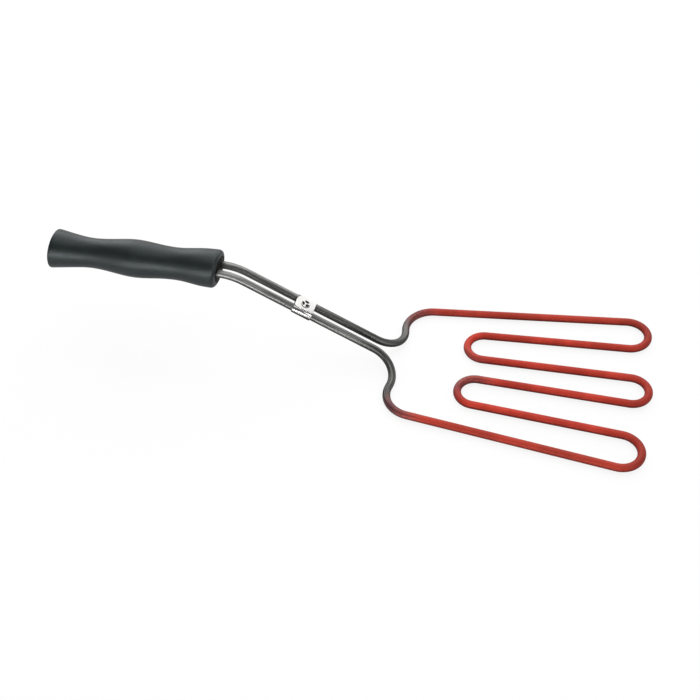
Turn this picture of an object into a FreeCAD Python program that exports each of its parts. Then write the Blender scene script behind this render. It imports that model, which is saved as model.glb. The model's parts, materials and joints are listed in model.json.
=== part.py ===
import FreeCAD, Part
import math
import os
import Sketcher
from FreeCAD import Placement, Rotation, Vector

# Electric charcoal lighter: a sheathed tubular heater bent into a flat six-row fan, carried by
# a waisted moulded handle.  Millimetres, +Z up, +X from the handle to the tip of the fan.
# The fan lies flat on the surface and the shank rises from its neck to the handle.

SIZES = [
    # tubular heater
    ("tube_diameter", 6.5),
    ("tube_wall", 0.8),
    ("leg_spacing", 11.4),
    ("leg_depth", 34.0),
    ("bend_radius", 44.5),
    ("shank_length", 160.0),
    ("shank_angle", 27.5),
    ("neck_radius", 23.1),
    ("lateral_run", 2.2),
    ("lateral_sweep_angle", 10.5),
    ("shoulder_radius", 23.5),
    ("outer_row_angle", 6.65),
    ("outer_row_run", 165.7),
    ("outer_tip_radius", 16.5),
    ("middle_row_angle", 3.8),
    ("middle_row_run", 119.2),
    ("base_turn_radius", 14.45),
    ("inner_row_angle", 1.25),
    ("fan_reach", 204.15),
    # inside the sheath
    ("coil_diameter", 2.6),
    ("coil_wall", 0.5),
    ("pin_diameter", 2.4),
    ("pin_projection", 15.0),
    ("bead_spigot", 5.0),
    ("bead_head", 3.0),
    ("fit_gap", 0.05),
    # handle shell
    ("grip_gap", 12.4),
    ("grip_length", 148.0),
    ("grip_wall", 2.4),
    ("front_radius", 16.2),
    ("collar_radius", 15.75),
    ("front_waist_radius", 13.8),
    ("front_swell_radius", 14.4),
    ("belly_radius", 16.0),
    ("rear_swell_radius", 14.1),
    ("rear_waist_radius", 12.8),
    ("flare_radius", 14.7),
    ("rear_radius", 16.9),
    ("front_rounding", 3.6),
    ("rear_rounding", 0.8),
    ("front_lip", 1.6),
    ("front_opening", 11.4),
    ("groove_radius", 13.0),
    ("web_thickness", 1.8),
    ("web_opening", 10.8),
    ("end_wall", 1.8),
    ("end_opening", 11.6),
    # discs that close the front
    ("plate_thickness", 2.5),
    ("flange_thickness", 1.2),
    ("seat_gap", 0.1),
    ("earth_tab_width", 6.3),
    ("earth_tab_thickness", 0.8),
    ("earth_tab_length", 9.0),
    ("earth_tab_height", 6.8),
    # handle screws
    ("screw_diameter", 2.4),
    ("screw_head_diameter", 4.6),
    ("screw_head_height", 1.8),
    ("screw_seat", 6.6),
    ("screw_reach", 6.2),
    ("screw_gap", 0.1),
    ("boss_diameter", 4.6),
    ("head_boss_diameter", 8.0),
    ("front_screw_at", 19.0),
    ("middle_screw_at", 72.0),
    ("rear_screw_from_end", 44.0),
    # terminals
    ("block_width", 18.4),
    ("block_height", 9.6),
    ("block_length", 15.0),
    ("block_gap", 3.0),
    ("sleeve_diameter", 5.2),
    ("sleeve_overhang", 1.0),
    ("terminal_screw_diameter", 2.8),
    ("terminal_screw_top", 4.6),
    # rear cap and cord inlet
    ("cap_dome", 3.0),
    ("cap_ring_radius", 12.9),
    ("cap_ring_length", 2.2),
    ("inlet_diameter", 6.8),
    ("grommet_wall", 1.3),
    ("grommet_lip", 1.5),
    ("grommet_lip_thickness", 1.2),
    ("clamp_from_end", 22.0),
    ("clamp_screw_offset", 6.1),
    ("clamp_bar_width", 5.0),
    ("clamp_bar_thickness", 2.2),
    ("clamp_bar_bottom", 2.2),
    ("clamp_bar_length", 16.0),
    ("clamp_screw_length", 7.0),
    ("clamp_screw_head", 1.4),
    # clip that holds the legs together
    ("clip_at", 95.5),
    ("clip_length", 18.0),
    ("clip_sheet", 0.8),
    ("clip_overlap", 2.6),
    ("clip_corner", 5.0),
    ("rivet_diameter", 4.0),
    ("rivet_head_diameter", 7.0),
    ("rivet_head_height", 1.0),
    ("rivet_pocket", 1.6),
]

STATIONS = (0.0, 0.1, 0.22, 0.36, 0.5, 0.64, 0.78, 0.9, 1.0)
STATION_RADII = (
    "front_radius", "collar_radius", "front_waist_radius", "front_swell_radius", "belly_radius",
    "rear_swell_radius", "rear_waist_radius", "flare_radius", "rear_radius",
)

doc = FreeCAD.newDocument("charcoal_lighter")
sheet = doc.addObject("Spreadsheet::Sheet", "Sizes")
for row, (alias, value) in enumerate(SIZES, start=1):
    sheet.set(f"A{row}", alias)
    sheet.set(f"B{row}", str(value))
    sheet.setAlias(f"B{row}", alias)
doc.recompute()

# Places that several pieces share, as expressions of the sheet.
RISE = "Sizes.shank_length * sin(Sizes.shank_angle * 1deg)"
RUN = "Sizes.shank_length * cos(Sizes.shank_angle * 1deg)"
BEHIND = f"({RUN} + Sizes.grip_gap + Sizes.grip_length + Sizes.cap_dome)"
NECK_X = f"(({BEHIND}) - Sizes.fan_reach) / 2"
GRIP_X = f"(({NECK_X}) - {RUN} - Sizes.grip_gap)"
AXIS_Z = f"({RISE} + Sizes.tube_diameter / 2)"
HALF_SPACING = "(Sizes.leg_spacing / 2)"
LEG_RADIUS = "(Sizes.tube_diameter / 2)"
BORE_RADIUS = f"({LEG_RADIUS} - Sizes.tube_wall)"
CLIP_X = f"({NECK_X} - Sizes.clip_at * cos(Sizes.shank_angle * 1deg))"
CLIP_Z = f"({LEG_RADIUS} + Sizes.clip_at * sin(Sizes.shank_angle * 1deg))"
GROOVE_END = "(Sizes.front_lip + Sizes.plate_thickness + Sizes.flange_thickness + Sizes.seat_gap)"
BLOCK_START = "(Sizes.leg_depth + Sizes.bead_head + Sizes.block_gap)"
REAR_WALL_START = "(Sizes.grip_length - Sizes.end_wall)"
CAP_TOP = "(Sizes.grip_length + Sizes.cap_dome)"
CAP_BOTTOM = f"({REAR_WALL_START} - Sizes.seat_gap - Sizes.cap_ring_length)"

parts = []


def size(alias):
    return float(sheet.get(alias))


def number(expression):
    return float(sheet.evalExpression(expression))


def bind(thing, **expressions):
    """Ties properties of an object to expressions of the sheet."""
    for name, expression in expressions.items():
        thing.setExpression(name.replace("__", "."), expression)


def keep(thing, label):
    """Names an object as a finished sub-part."""
    thing.Label = label
    parts.append(thing)
    return thing


def move(thing, x="0", y="0", z="0"):
    bind(thing, Placement__Base__x=x, Placement__Base__y=y, Placement__Base__z=z)
    return thing


def seat_in_handle(thing):
    """Local z runs rearwards along the handle from its front face, and local x points up."""
    thing.Placement = Placement(Vector(), Rotation(Vector(0, 1, 0), -90))
    return move(thing, x=GRIP_X, z=AXIS_Z)


def seat_on_shank(thing):
    """Local x runs down the shank, and local z is square to the plane of the legs."""
    thing.Placement = Placement(Vector(), Rotation(Vector(0, 1, 0), size("shank_angle")))
    bind(thing, Placement__Rotation__Angle="Sizes.shank_angle * 1deg")
    return move(thing, x=CLIP_X, z=CLIP_Z)


def cylinder(name, radius, length, x="0", y="0", z="0", turn=None):
    rod = doc.addObject("Part::Cylinder", name)
    bind(rod, Radius=radius, Height=length)
    if turn is not None:
        rod.Placement = Placement(Vector(), turn)
    return move(rod, x, y, z)


def block(name, lengths, x="0", y="0", z="0"):
    """A box centred on x and y, with its lowest z face at z."""
    box = doc.addObject("Part::Box", name)
    bind(box, Length=lengths[0], Width=lengths[1], Height=lengths[2])
    return move(box, f"{x} - ({lengths[0]}) / 2", f"{y} - ({lengths[1]}) / 2", z)


def fused(name, pieces):
    joined = doc.addObject("Part::MultiFuse", name)
    joined.Shapes = pieces
    return joined


def cut(name, base, tool):
    rest = doc.addObject("Part::Cut", name)
    rest.Base = base
    rest.Tool = tool
    return rest


def cut_all(name, base, tools):
    return cut(name, base, fused(f"{name}_tools", tools))


SIDEWAYS = Rotation(Vector(0, 1, 0), 90)


# --- the heater's path -------------------------------------------------------------------

def corner(vertex, heading, leaving, radius):
    """An arc tangent to both headings at a corner: its start, middle and end."""
    half_turn = heading.getAngle(leaving) / 2
    reach = radius * math.tan(half_turn)
    inward = (leaving - heading).normalize()
    centre = vertex + inward * (radius / math.cos(half_turn))
    return vertex - heading * reach, centre - inward * radius, vertex + leaving * reach


def flat_heading(degrees):
    return Vector(math.cos(math.radians(degrees)), math.sin(math.radians(degrees)), 0)


def flat_turn(start, degrees_in, degrees_out, radius, side):
    """An arc in the fan's plane that turns to the left (side 1) or the right (side -1)."""
    left = flat_heading(degrees_in + 90)
    centre = start + left * (radius * side)
    middle = centre - flat_heading((degrees_in + degrees_out) / 2 + 90) * (radius * side)
    return start, middle, centre - flat_heading(degrees_out + 90) * (radius * side)


def neck_point():
    return Vector(number(NECK_X), number(HALF_SPACING), size("tube_diameter") / 2)


def leg_arcs():
    """The left leg's two arcs: under the handle, and at the neck."""
    rise = math.radians(size("shank_angle"))
    down = Vector(math.cos(rise), 0, -math.sin(rise))
    outward = flat_heading(90 + size("lateral_sweep_angle"))
    neck = neck_point()
    top = neck - down * size("shank_length")
    return [
        corner(top, Vector(1, 0, 0), down, size("bend_radius")),
        corner(neck, down, outward, size("neck_radius")),
    ]


def fan_arcs():
    """The left half of the fan: shoulder, outer tip, base turn and half of the middle tip."""
    outward = flat_heading(90 + size("lateral_sweep_angle"))
    outer = size("outer_row_angle")
    middle = -180 + size("middle_row_angle")
    inner = size("inner_row_angle")
    row = flat_heading(outer)
    lateral_start = leg_arcs()[1][2]
    shoulder_reach = size("shoulder_radius") * math.tan(outward.getAngle(row) / 2)
    shoulder_vertex = lateral_start + outward * (size("lateral_run") + shoulder_reach)
    shoulder = corner(shoulder_vertex, outward, row, size("shoulder_radius"))
    tip_start = shoulder[2] + row * size("outer_row_run")
    tip = flat_turn(tip_start, outer, middle, size("outer_tip_radius"), -1)
    base_start = tip[2] + flat_heading(middle) * size("middle_row_run")
    base = flat_turn(base_start, middle, inner, size("base_turn_radius"), 1)
    return [shoulder, tip, base, middle_tip(base[2], math.radians(inner))]


def middle_tip(row_start, splay):
    """The middle tip touches the inner rows and reaches the front of the fan on the axis."""
    front = number(NECK_X) + size("fan_reach") - size("tube_diameter") / 2
    gap = (front - row_start.x) * math.sin(splay) + row_start.y * math.cos(splay)
    radius = gap / (1 + math.sin(splay))
    centre = Vector(front - radius, 0, row_start.z)
    touch = centre + Vector(-math.sin(splay), math.cos(splay), 0) * radius
    return touch, Vector(front, 0, row_start.z), mirrored(touch)


def mirrored(point):
    return Vector(point.x, -point.y, point.z)


def reversed_arc(arc):
    return tuple(mirrored(point) for point in reversed(arc))


def joined_edges(points_and_arcs):
    """Straight runs between points and arcs, in order."""
    edges = []
    here = None
    for item in points_and_arcs:
        start = item if isinstance(item, Vector) else item[0]
        if here is not None and here.distanceToPoint(start) > 1e-6:
            edges.append(Part.LineSegment(here, start).toShape())
        if isinstance(item, Vector):
            here = item
        else:
            edges.append(Part.Arc(*item).toShape())
            here = item[2]
    return edges


def leg_end(inset):
    """A point on the left leg's axis inside the handle, inset from the end of the sheath."""
    x = number(GRIP_X) - size("leg_depth") + inset
    return Vector(x, number(HALF_SPACING), number(AXIS_Z))


def whole_run(inset):
    """Handle to handle through the fan."""
    half = leg_arcs() + fan_arcs()
    back = [reversed_arc(arc) for arc in reversed(half[:-1])]
    return joined_edges([leg_end(inset)] + half + back + [mirrored(leg_end(inset))])


def hot_run():
    """From the neck of one leg to the neck of the other."""
    half = [leg_arcs()[1]] + fan_arcs()
    back = [reversed_arc(arc) for arc in reversed(half[:-1])]
    return joined_edges(half + back)


def cold_run():
    """From behind the sheath's left end down to the neck."""
    bend, neck = leg_arcs()
    return joined_edges([leg_end(-size("pin_projection")), bend, neck[0]])


def swept(name, edges, radius):
    """A round rod along a run of edges."""
    spine = doc.addObject("Part::Feature", f"{name}_spine")
    spine.Shape = Part.Wire(edges)
    ring = doc.addObject("Part::Circle", f"{name}_section")
    bind(ring, Radius=radius)
    heading = edges[0].tangentAt(edges[0].FirstParameter)
    ring.Placement = Placement(edges[0].firstVertex(True).Point, Rotation(Vector(0, 0, 1), heading))
    rod = doc.addObject("Part::Sweep", name)
    rod.Sections = [ring]
    rod.Spine = (spine, [f"Edge{count}" for count in range(1, len(edges) + 1)])
    rod.Solid = True
    return rod


# --- heater ------------------------------------------------------------------------------

def make_heater_sheath():
    outside = swept("sheath_outside", whole_run(0), LEG_RADIUS)
    bore = swept("sheath_bore", whole_run(0), BORE_RADIUS)
    keep(cut("heater_sheath_cut", outside, bore), "heater_sheath")


def make_magnesia_packing():
    inset = size("bead_spigot") + size("fit_gap")
    outside = swept("packing_outside", whole_run(inset), f"{BORE_RADIUS} - Sizes.fit_gap")
    hole = swept("packing_hole", whole_run(inset), "Sizes.coil_diameter / 2 + Sizes.fit_gap")
    keep(cut("magnesia_packing_cut", outside, hole), "magnesia_packing")


def make_heating_coil():
    outside = swept("coil_outside", hot_run(), "Sizes.coil_diameter / 2")
    inside = swept("coil_inside", hot_run(), "Sizes.coil_diameter / 2 - Sizes.coil_wall")
    keep(cut("heating_coil_cut", outside, inside), "heating_coil")


def make_cold_pins():
    left = swept("cold_pin_rod", cold_run(), "Sizes.pin_diameter / 2")
    keep(left, "cold_pin_left")
    right = doc.addObject("Part::Mirroring", "cold_pin_mirror")
    right.Source = left
    right.Normal = Vector(0, 1, 0)
    keep(right, "cold_pin_right")


def make_end_bead(side, sign):
    """A ceramic bush with a spigot in the mouth of the sheath."""
    y = f"{sign} * {HALF_SPACING}"
    head = cylinder(f"bead_head_{side}", LEG_RADIUS, "Sizes.bead_head", y=y, z="Sizes.leg_depth")
    spigot = cylinder(
        f"bead_spigot_{side}", f"{BORE_RADIUS} - Sizes.fit_gap", "Sizes.bead_spigot",
        y=y, z="Sizes.leg_depth - Sizes.bead_spigot",
    )
    hole = cylinder(
        f"bead_hole_{side}", "Sizes.pin_diameter / 2 + Sizes.fit_gap",
        "Sizes.bead_spigot + Sizes.bead_head",
        y=y, z="Sizes.leg_depth - Sizes.bead_spigot",
    )
    bead = cut(f"bead_{side}", fused(f"bead_body_{side}", [head, spigot]), hole)
    keep(seat_in_handle(bead), f"end_bead_{side}")


# --- sketches and bodies -----------------------------------------------------------------

def new_body(name, plane):
    body = doc.addObject("PartDesign::Body", name)
    sketch = body.newObject("Sketcher::SketchObject", f"{name}_sketch")
    base = [item for item in body.Origin.OriginFeatures if item.Role == plane][0]
    sketch.AttachmentSupport = (base, [""])
    sketch.MapMode = "FlatFace"
    return body, sketch


def tie_point(sketch, geometry, place, x, y):
    """Ties one point of a sketch to the origin by two bound distances."""
    for kind, expression in (("DistanceX", x), ("DistanceY", y)):
        rule = Sketcher.Constraint(kind, -1, 1, geometry, place, number(expression))
        index = sketch.addConstraint(rule)
        sketch.setExpression(f"Constraints[{index}]", expression)


def draw_circle(sketch, x, y, radius):
    centre = Vector(number(x), number(y), 0)
    ring = sketch.addGeometry(Part.Circle(centre, Vector(0, 0, 1), number(radius)))
    tie_point(sketch, ring, 3, x, y)
    index = sketch.addConstraint(Sketcher.Constraint("Radius", ring, number(radius)))
    sketch.setExpression(f"Constraints[{index}]", radius)


def draw_outline(sketch, corners):
    """A closed outline of straight lines through bound corners."""
    points = [Vector(number(x), number(y), 0) for x, y in corners]
    lines = []
    for start, end in zip(points, points[1:] + points[:1]):
        lines.append(sketch.addGeometry(Part.LineSegment(start, end)))
    for line, following in zip(lines, lines[1:] + lines[:1]):
        sketch.addConstraint(Sketcher.Constraint("Coincident", line, 2, following, 1))
    for line, (x, y) in zip(lines, corners):
        tie_point(sketch, line, 1, x, y)


def pad(body, sketch, name, length):
    raised = body.newObject("PartDesign::Pad", name)
    raised.Profile = sketch
    bind(raised, Length=length)
    return raised


def revolve(body, sketch, name):
    """Turns a sketch of radius and height about the body's z axis."""
    turned = body.newObject("PartDesign::Revolution", name)
    turned.Profile = sketch
    turned.ReferenceAxis = (sketch, ["V_Axis"])
    turned.Angle = 360
    return turned


def leg_disc(label, radius, thickness, start, hole_radius):
    """A disc with two holes for the legs."""
    body, sketch = new_body(f"{label}_body", "XY_Plane")
    draw_circle(sketch, "0", "0", radius)
    draw_circle(sketch, "0", HALF_SPACING, hole_radius)
    draw_circle(sketch, "0", f"-{HALF_SPACING}", hole_radius)
    pad(body, sketch, f"{label}_pad", thickness)
    seat_in_handle(body)
    move(body, x=f"{GRIP_X} - {start}", z=AXIS_Z)
    keep(body, label)


def make_front_discs():
    """The heat-resistant front plate, and the steel flange brazed to the legs behind it."""
    disc_radius = "Sizes.groove_radius - Sizes.seat_gap"
    leg_disc("front_plate", disc_radius, "Sizes.plate_thickness", "Sizes.front_lip",
             f"{LEG_RADIUS} + Sizes.seat_gap")
    leg_disc("mounting_flange", disc_radius, "Sizes.flange_thickness",
             "(Sizes.front_lip + Sizes.plate_thickness)", f"{LEG_RADIUS} + Sizes.fit_gap")


def make_earth_tab():
    """A blade welded to the back of the flange above the legs."""
    root = "Sizes.front_lip + Sizes.plate_thickness + Sizes.flange_thickness"
    blade = block(
        "earth_blade",
        ("Sizes.earth_tab_thickness", "Sizes.earth_tab_width", "Sizes.earth_tab_length"),
        x="Sizes.earth_tab_height", z=root,
    )
    hole = cylinder(
        "earth_hole", "Sizes.earth_tab_width / 6", "Sizes.earth_tab_thickness * 3",
        x="Sizes.earth_tab_height - Sizes.earth_tab_thickness * 1.5",
        z=f"{root} + Sizes.earth_tab_length - Sizes.earth_tab_width / 2", turn=SIDEWAYS,
    )
    keep(seat_in_handle(cut("earth_tab_cut", blade, hole)), "earth_tab")


# --- handle shell ------------------------------------------------------------------------

def turned_form(inset, start, end):
    """The handle's outline, drawn in by an inset, turned about its axis between two planes."""
    length = size("grip_length")
    points = []
    for fraction, alias in zip(STATIONS, STATION_RADII):
        points.append(Vector(size(alias) - inset, 0, fraction * length))
    outline = Part.BSplineCurve()
    outline.interpolate(points)
    edges = [
        Part.LineSegment(Vector(), points[0]).toShape(),
        outline.toShape(),
        Part.LineSegment(points[-1], Vector(0, 0, length)).toShape(),
        Part.LineSegment(Vector(0, 0, length), Vector()).toShape(),
    ]
    form = Part.Face(Part.Wire(edges)).revolve(Vector(), Vector(0, 0, 1), 360)
    slab = Part.makeCylinder(length, end - start, Vector(0, 0, start))
    return form.common(slab)


def rounded(form, height, radius):
    """Rounds the circular edge of a turned form at a height."""
    rim = [
        edge for edge in form.Edges
        if abs(edge.BoundBox.ZMin - height) < 1e-6 and edge.BoundBox.ZLength < 1e-6
        and edge.BoundBox.XLength > 1 and edge.BoundBox.YLength > 1
    ]
    return form.makeFillet(radius, rim)


def upright_rod(radius, low, high, along, side=0.0):
    """A rod square to the parting plane, from one height to another."""
    return Part.makeCylinder(radius, high - low, Vector(low, side, along), Vector(1, 0, 0))


def disc_space(radius, start, end):
    return Part.makeCylinder(radius, end - start, Vector(0, 0, start))


def screw_places():
    rear = size("grip_length") - size("rear_screw_from_end")
    return [size("front_screw_at"), size("middle_screw_at"), rear]


def clamp_place():
    return size("grip_length") - size("clamp_from_end")


def hollow_grip():
    """The whole shell with its end walls and grooves, before it is parted."""
    length = size("grip_length")
    web_start = number(GROOVE_END)
    web_end = web_start + size("web_thickness")
    rear_wall = number(REAR_WALL_START)
    ring_start = number(CAP_BOTTOM) - size("seat_gap")
    form = rounded(turned_form(0, 0, length), 0, size("front_rounding"))
    form = rounded(form, length, size("rear_rounding"))
    spaces = [
        turned_form(size("grip_wall"), web_end, rear_wall),
        disc_space(size("cap_ring_radius") + size("seat_gap"), ring_start, rear_wall),
        disc_space(size("front_opening"), -1, size("front_lip")),
        disc_space(size("groove_radius"), size("front_lip"), web_start),
        disc_space(size("web_opening"), web_start, web_end),
        disc_space(size("end_opening"), rear_wall, length + 1),
    ]
    return form.cut(spaces)


def half_space(sign):
    length = size("grip_length")
    box = Part.makeBox(length, 2 * length, 3 * length, Vector(0, -length, -length))
    if sign < 0:
        box.translate(Vector(-length, 0, 0))
    return box


def make_grip_upper():
    """The upper shell with blind bosses for the screws."""
    shell = hollow_grip()
    filled = turned_form(0, 0, size("grip_length"))
    bosses = []
    pilots = []
    pilot_radius = size("screw_diameter") / 2 + size("fit_gap")
    for along in screw_places():
        bosses.append(upright_rod(size("boss_diameter") / 2, 0, 2 * size("belly_radius"), along))
        depth = size("screw_reach") + size("screw_gap")
        pilots.append(upright_rod(pilot_radius, -1, depth, along))
    solid = shell.common(half_space(1))
    for boss in bosses:
        solid = solid.fuse(boss.common(filled))
    upper = doc.addObject("Part::Feature", "grip_upper_shell")
    upper.Shape = solid.removeSplitter().cut(pilots)
    keep(seat_in_handle(upper), "grip_upper")


def make_grip_lower():
    """The lower shell with counterbored screw bosses and the two posts of the cord clamp."""
    shell = hollow_grip()
    filled = turned_form(0, 0, size("grip_length"))
    seat = -size("screw_seat")
    depth = 2 * size("belly_radius")
    head_boss_end = seat + size("web_thickness")
    solid = shell.common(half_space(-1))
    holes = []
    for along in screw_places():
        wide = upright_rod(size("head_boss_diameter") / 2, -depth, head_boss_end, along)
        slim = upright_rod(size("boss_diameter") / 2, -depth, 0, along)
        solid = solid.fuse(wide.fuse(slim).common(filled))
        holes.append(upright_rod(size("screw_diameter") / 2 + size("screw_gap"), -depth, 1, along))
        head_radius = size("screw_head_diameter") / 2 + size("screw_gap")
        holes.append(upright_rod(head_radius, -depth, seat, along))
    top = size("clamp_bar_bottom")
    for side in (-1, 1):
        offset = side * size("clamp_screw_offset")
        post = upright_rod(size("boss_diameter") / 2, -depth, top, clamp_place(), offset)
        solid = solid.fuse(post.common(filled))
        pilot = size("screw_diameter") / 2 + size("fit_gap")
        low = top - size("clamp_screw_length")
        holes.append(upright_rod(pilot, low, top + 1, clamp_place(), offset))
    lower = doc.addObject("Part::Feature", "grip_lower_shell")
    lower.Shape = solid.removeSplitter().cut(holes)
    keep(seat_in_handle(lower), "grip_lower")


def pan_screw(name, shank, seat, low, x_sign, y, z, head_height):
    """A screw along local x with its head on a seat."""
    head_x = f"{seat} - {head_height}" if x_sign > 0 else seat
    head = cylinder(f"{name}_head", "Sizes.screw_head_diameter / 2", head_height,
                    x=head_x, y=y, z=z, turn=SIDEWAYS)
    body = cylinder(f"{name}_shank", "Sizes.screw_diameter / 2", shank, x=low, y=y, z=z,
                    turn=SIDEWAYS)
    return fused(name, [head, body])


def make_grip_screws():
    places = ("Sizes.front_screw_at", "Sizes.middle_screw_at",
              "Sizes.grip_length - Sizes.rear_screw_from_end")
    screws = []
    for count, along in enumerate(places):
        screws.append(pan_screw(
            f"grip_screw_{count}", "Sizes.screw_seat + Sizes.screw_reach",
            "-Sizes.screw_seat", "-Sizes.screw_seat", 1, "0", along, "Sizes.screw_head_height",
        ))
    group = doc.addObject("Part::Compound", "grip_screw_group")
    group.Links = screws
    keep(seat_in_handle(group), "grip_screws")


# --- terminals ---------------------------------------------------------------------------

def make_terminal_block():
    """A ceramic block with a bore for each sleeve and a well for each screw."""
    body = block("block_body", ("Sizes.block_height", "Sizes.block_width", "Sizes.block_length"),
                 z=BLOCK_START)
    spaces = []
    for count, sign in enumerate((-1, 1)):
        y = f"{sign} * {HALF_SPACING}"
        spaces.append(cylinder(f"block_bore_{count}", "Sizes.sleeve_diameter / 2 + Sizes.fit_gap",
                               "Sizes.block_length", y=y, z=BLOCK_START))
        for end, share in (("front", "1"), ("rear", "3")):
            spaces.append(cylinder(
                f"block_well_{count}_{end}",
                "Sizes.terminal_screw_diameter / 2 + 4 * Sizes.fit_gap", "Sizes.block_height",
                y=y, z=f"{BLOCK_START} + {share} * Sizes.block_length / 4", turn=SIDEWAYS,
            ))
    keep(seat_in_handle(cut_all("terminal_block_cut", body, spaces)), "terminal_block")


def make_terminal_sleeves():
    """Brass sleeves that join each pin to its supply wire."""
    sleeves = []
    start = f"{BLOCK_START} - Sizes.sleeve_overhang"
    length = "Sizes.block_length + 2 * Sizes.sleeve_overhang"
    for count, sign in enumerate((-1, 1)):
        y = f"{sign} * {HALF_SPACING}"
        tube = cylinder(f"sleeve_tube_{count}", "Sizes.sleeve_diameter / 2", length, y=y, z=start)
        tools = [cylinder(f"sleeve_bore_{count}", "Sizes.pin_diameter / 2 + Sizes.fit_gap", length,
                          y=y, z=start)]
        for end, share in (("front", "1"), ("rear", "3")):
            tools.append(cylinder(
                f"sleeve_tapping_{count}_{end}",
                "Sizes.terminal_screw_diameter / 2 + Sizes.fit_gap", "Sizes.sleeve_diameter",
                y=y, z=f"{BLOCK_START} + {share} * Sizes.block_length / 4", turn=SIDEWAYS,
            ))
        sleeves.append(cut_all(f"sleeve_{count}", tube, tools))
    group = doc.addObject("Part::Compound", "sleeve_group")
    group.Links = sleeves
    keep(seat_in_handle(group), "terminal_sleeves")


def make_terminal_screws():
    """Slotted grub screws that bear on the pins."""
    screws = []
    low = "Sizes.pin_diameter / 2 + Sizes.fit_gap"
    length = f"Sizes.terminal_screw_top - ({low})"
    slot_depth = "Sizes.terminal_screw_diameter / 4"
    for count, sign in enumerate((-1, 1)):
        y = f"{sign} * {HALF_SPACING}"
        for end, share in (("front", "1"), ("rear", "3")):
            z = f"{BLOCK_START} + {share} * Sizes.block_length / 4"
            rod = cylinder(f"grub_{count}_{end}", "Sizes.terminal_screw_diameter / 2", length,
                           x=low, y=y, z=z, turn=SIDEWAYS)
            slot = block(f"grub_slot_{count}_{end}",
                         (f"2 * {slot_depth}", "Sizes.terminal_screw_diameter * 2",
                          "Sizes.terminal_screw_diameter / 5"),
                         x="Sizes.terminal_screw_top", y=y,
                         z=f"{z} - Sizes.terminal_screw_diameter / 10")
            screws.append(cut(f"grub_screw_{count}_{end}", rod, slot))
    group = doc.addObject("Part::Compound", "grub_screw_group")
    group.Links = screws
    keep(seat_in_handle(group), "terminal_screws")


# --- rear cap and cord inlet -------------------------------------------------------------

INLET_OUTER = "(Sizes.inlet_diameter / 2 + Sizes.grommet_wall)"
LIP_OUTER = f"({INLET_OUTER} + Sizes.grommet_lip)"


def make_rear_cap():
    """A domed disc outside, a neck through the end wall, and a ring that the wall traps."""
    edge_radius = "(Sizes.rear_radius - Sizes.rear_rounding / 4)"
    sphere_radius = f"({edge_radius}^2 + Sizes.cap_dome^2) / (2 * Sizes.cap_dome)"
    drum = cylinder("cap_drum", edge_radius, "Sizes.cap_dome", z="Sizes.grip_length")
    ball = doc.addObject("Part::Sphere", "cap_ball")
    bind(ball, Radius=sphere_radius)
    move(ball, z=f"{CAP_TOP} - {sphere_radius}")
    dome = doc.addObject("Part::Common", "cap_dome_form")
    dome.Base = drum
    dome.Tool = ball
    neck = cylinder("cap_neck", "Sizes.end_opening - Sizes.seat_gap",
                    f"Sizes.grip_length - {CAP_BOTTOM}", z=CAP_BOTTOM)
    ring = cylinder("cap_ring", "Sizes.cap_ring_radius", "Sizes.cap_ring_length", z=CAP_BOTTOM)
    body = fused("cap_body", [dome, neck, ring])
    hole = cylinder("cap_hole", f"{INLET_OUTER} + Sizes.fit_gap", f"2 * {CAP_TOP}")
    recess = cylinder("cap_recess", f"{LIP_OUTER} + Sizes.seat_gap", "Sizes.cap_dome * 2",
                      z=f"{CAP_TOP} - Sizes.grommet_lip_thickness - Sizes.seat_gap")
    keep(seat_in_handle(cut_all("rear_cap_cut", body, [hole, recess])), "rear_cap")


def make_cord_grommet():
    """A rubber bush through the cap, with a lip on each side."""
    lip = "Sizes.grommet_lip_thickness"
    inner_top = f"({CAP_TOP} - {lip})"
    body, sketch = new_body("grommet_body", "XZ_Plane")
    bore = "Sizes.inlet_diameter / 2"
    draw_outline(sketch, [
        (bore, f"{CAP_BOTTOM} - {lip}"),
        (LIP_OUTER, f"{CAP_BOTTOM} - {lip}"),
        (LIP_OUTER, CAP_BOTTOM),
        (INLET_OUTER, CAP_BOTTOM),
        (INLET_OUTER, inner_top),
        (LIP_OUTER, inner_top),
        (LIP_OUTER, CAP_TOP),
        (bore, CAP_TOP),
    ])
    revolve(body, sketch, "grommet_turning")
    keep(seat_in_handle(body), "cord_grommet")


def make_cord_clamp():
    """A bar across the posts of the lower shell, with two screws."""
    along = "(Sizes.grip_length - Sizes.clamp_from_end)"
    body, sketch = new_body("clamp_body", "YZ_Plane")
    half = "Sizes.clamp_bar_length / 2"
    draw_outline(sketch, [
        (f"-{half}", f"{along} - Sizes.clamp_bar_width / 2"),
        (half, f"{along} - Sizes.clamp_bar_width / 2"),
        (half, f"{along} + Sizes.clamp_bar_width / 2"),
        (f"-{half}", f"{along} + Sizes.clamp_bar_width / 2"),
    ])
    hole_radius = "Sizes.screw_diameter / 2 + Sizes.screw_gap"
    draw_circle(sketch, "Sizes.clamp_screw_offset", along, hole_radius)
    draw_circle(sketch, "-Sizes.clamp_screw_offset", along, hole_radius)
    pad(body, sketch, "clamp_pad", "Sizes.clamp_bar_thickness")
    seat_in_handle(body)
    move(body, x=GRIP_X, z=f"{AXIS_Z} + Sizes.clamp_bar_bottom")
    keep(body, "cord_clamp")
    top = "(Sizes.clamp_bar_bottom + Sizes.clamp_bar_thickness)"
    low = "Sizes.clamp_bar_bottom - Sizes.clamp_screw_length + Sizes.screw_gap"
    screws = []
    for count, sign in enumerate((-1, 1)):
        screws.append(pan_screw(
            f"clamp_screw_{count}", f"{top} - ({low})", top, low, -1,
            f"{sign} * Sizes.clamp_screw_offset", along, "Sizes.clamp_screw_head",
        ))
    group = doc.addObject("Part::Compound", "clamp_screw_group")
    group.Links = screws
    keep(seat_in_handle(group), "cord_clamp_screws")


# --- clip --------------------------------------------------------------------------------

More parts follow.
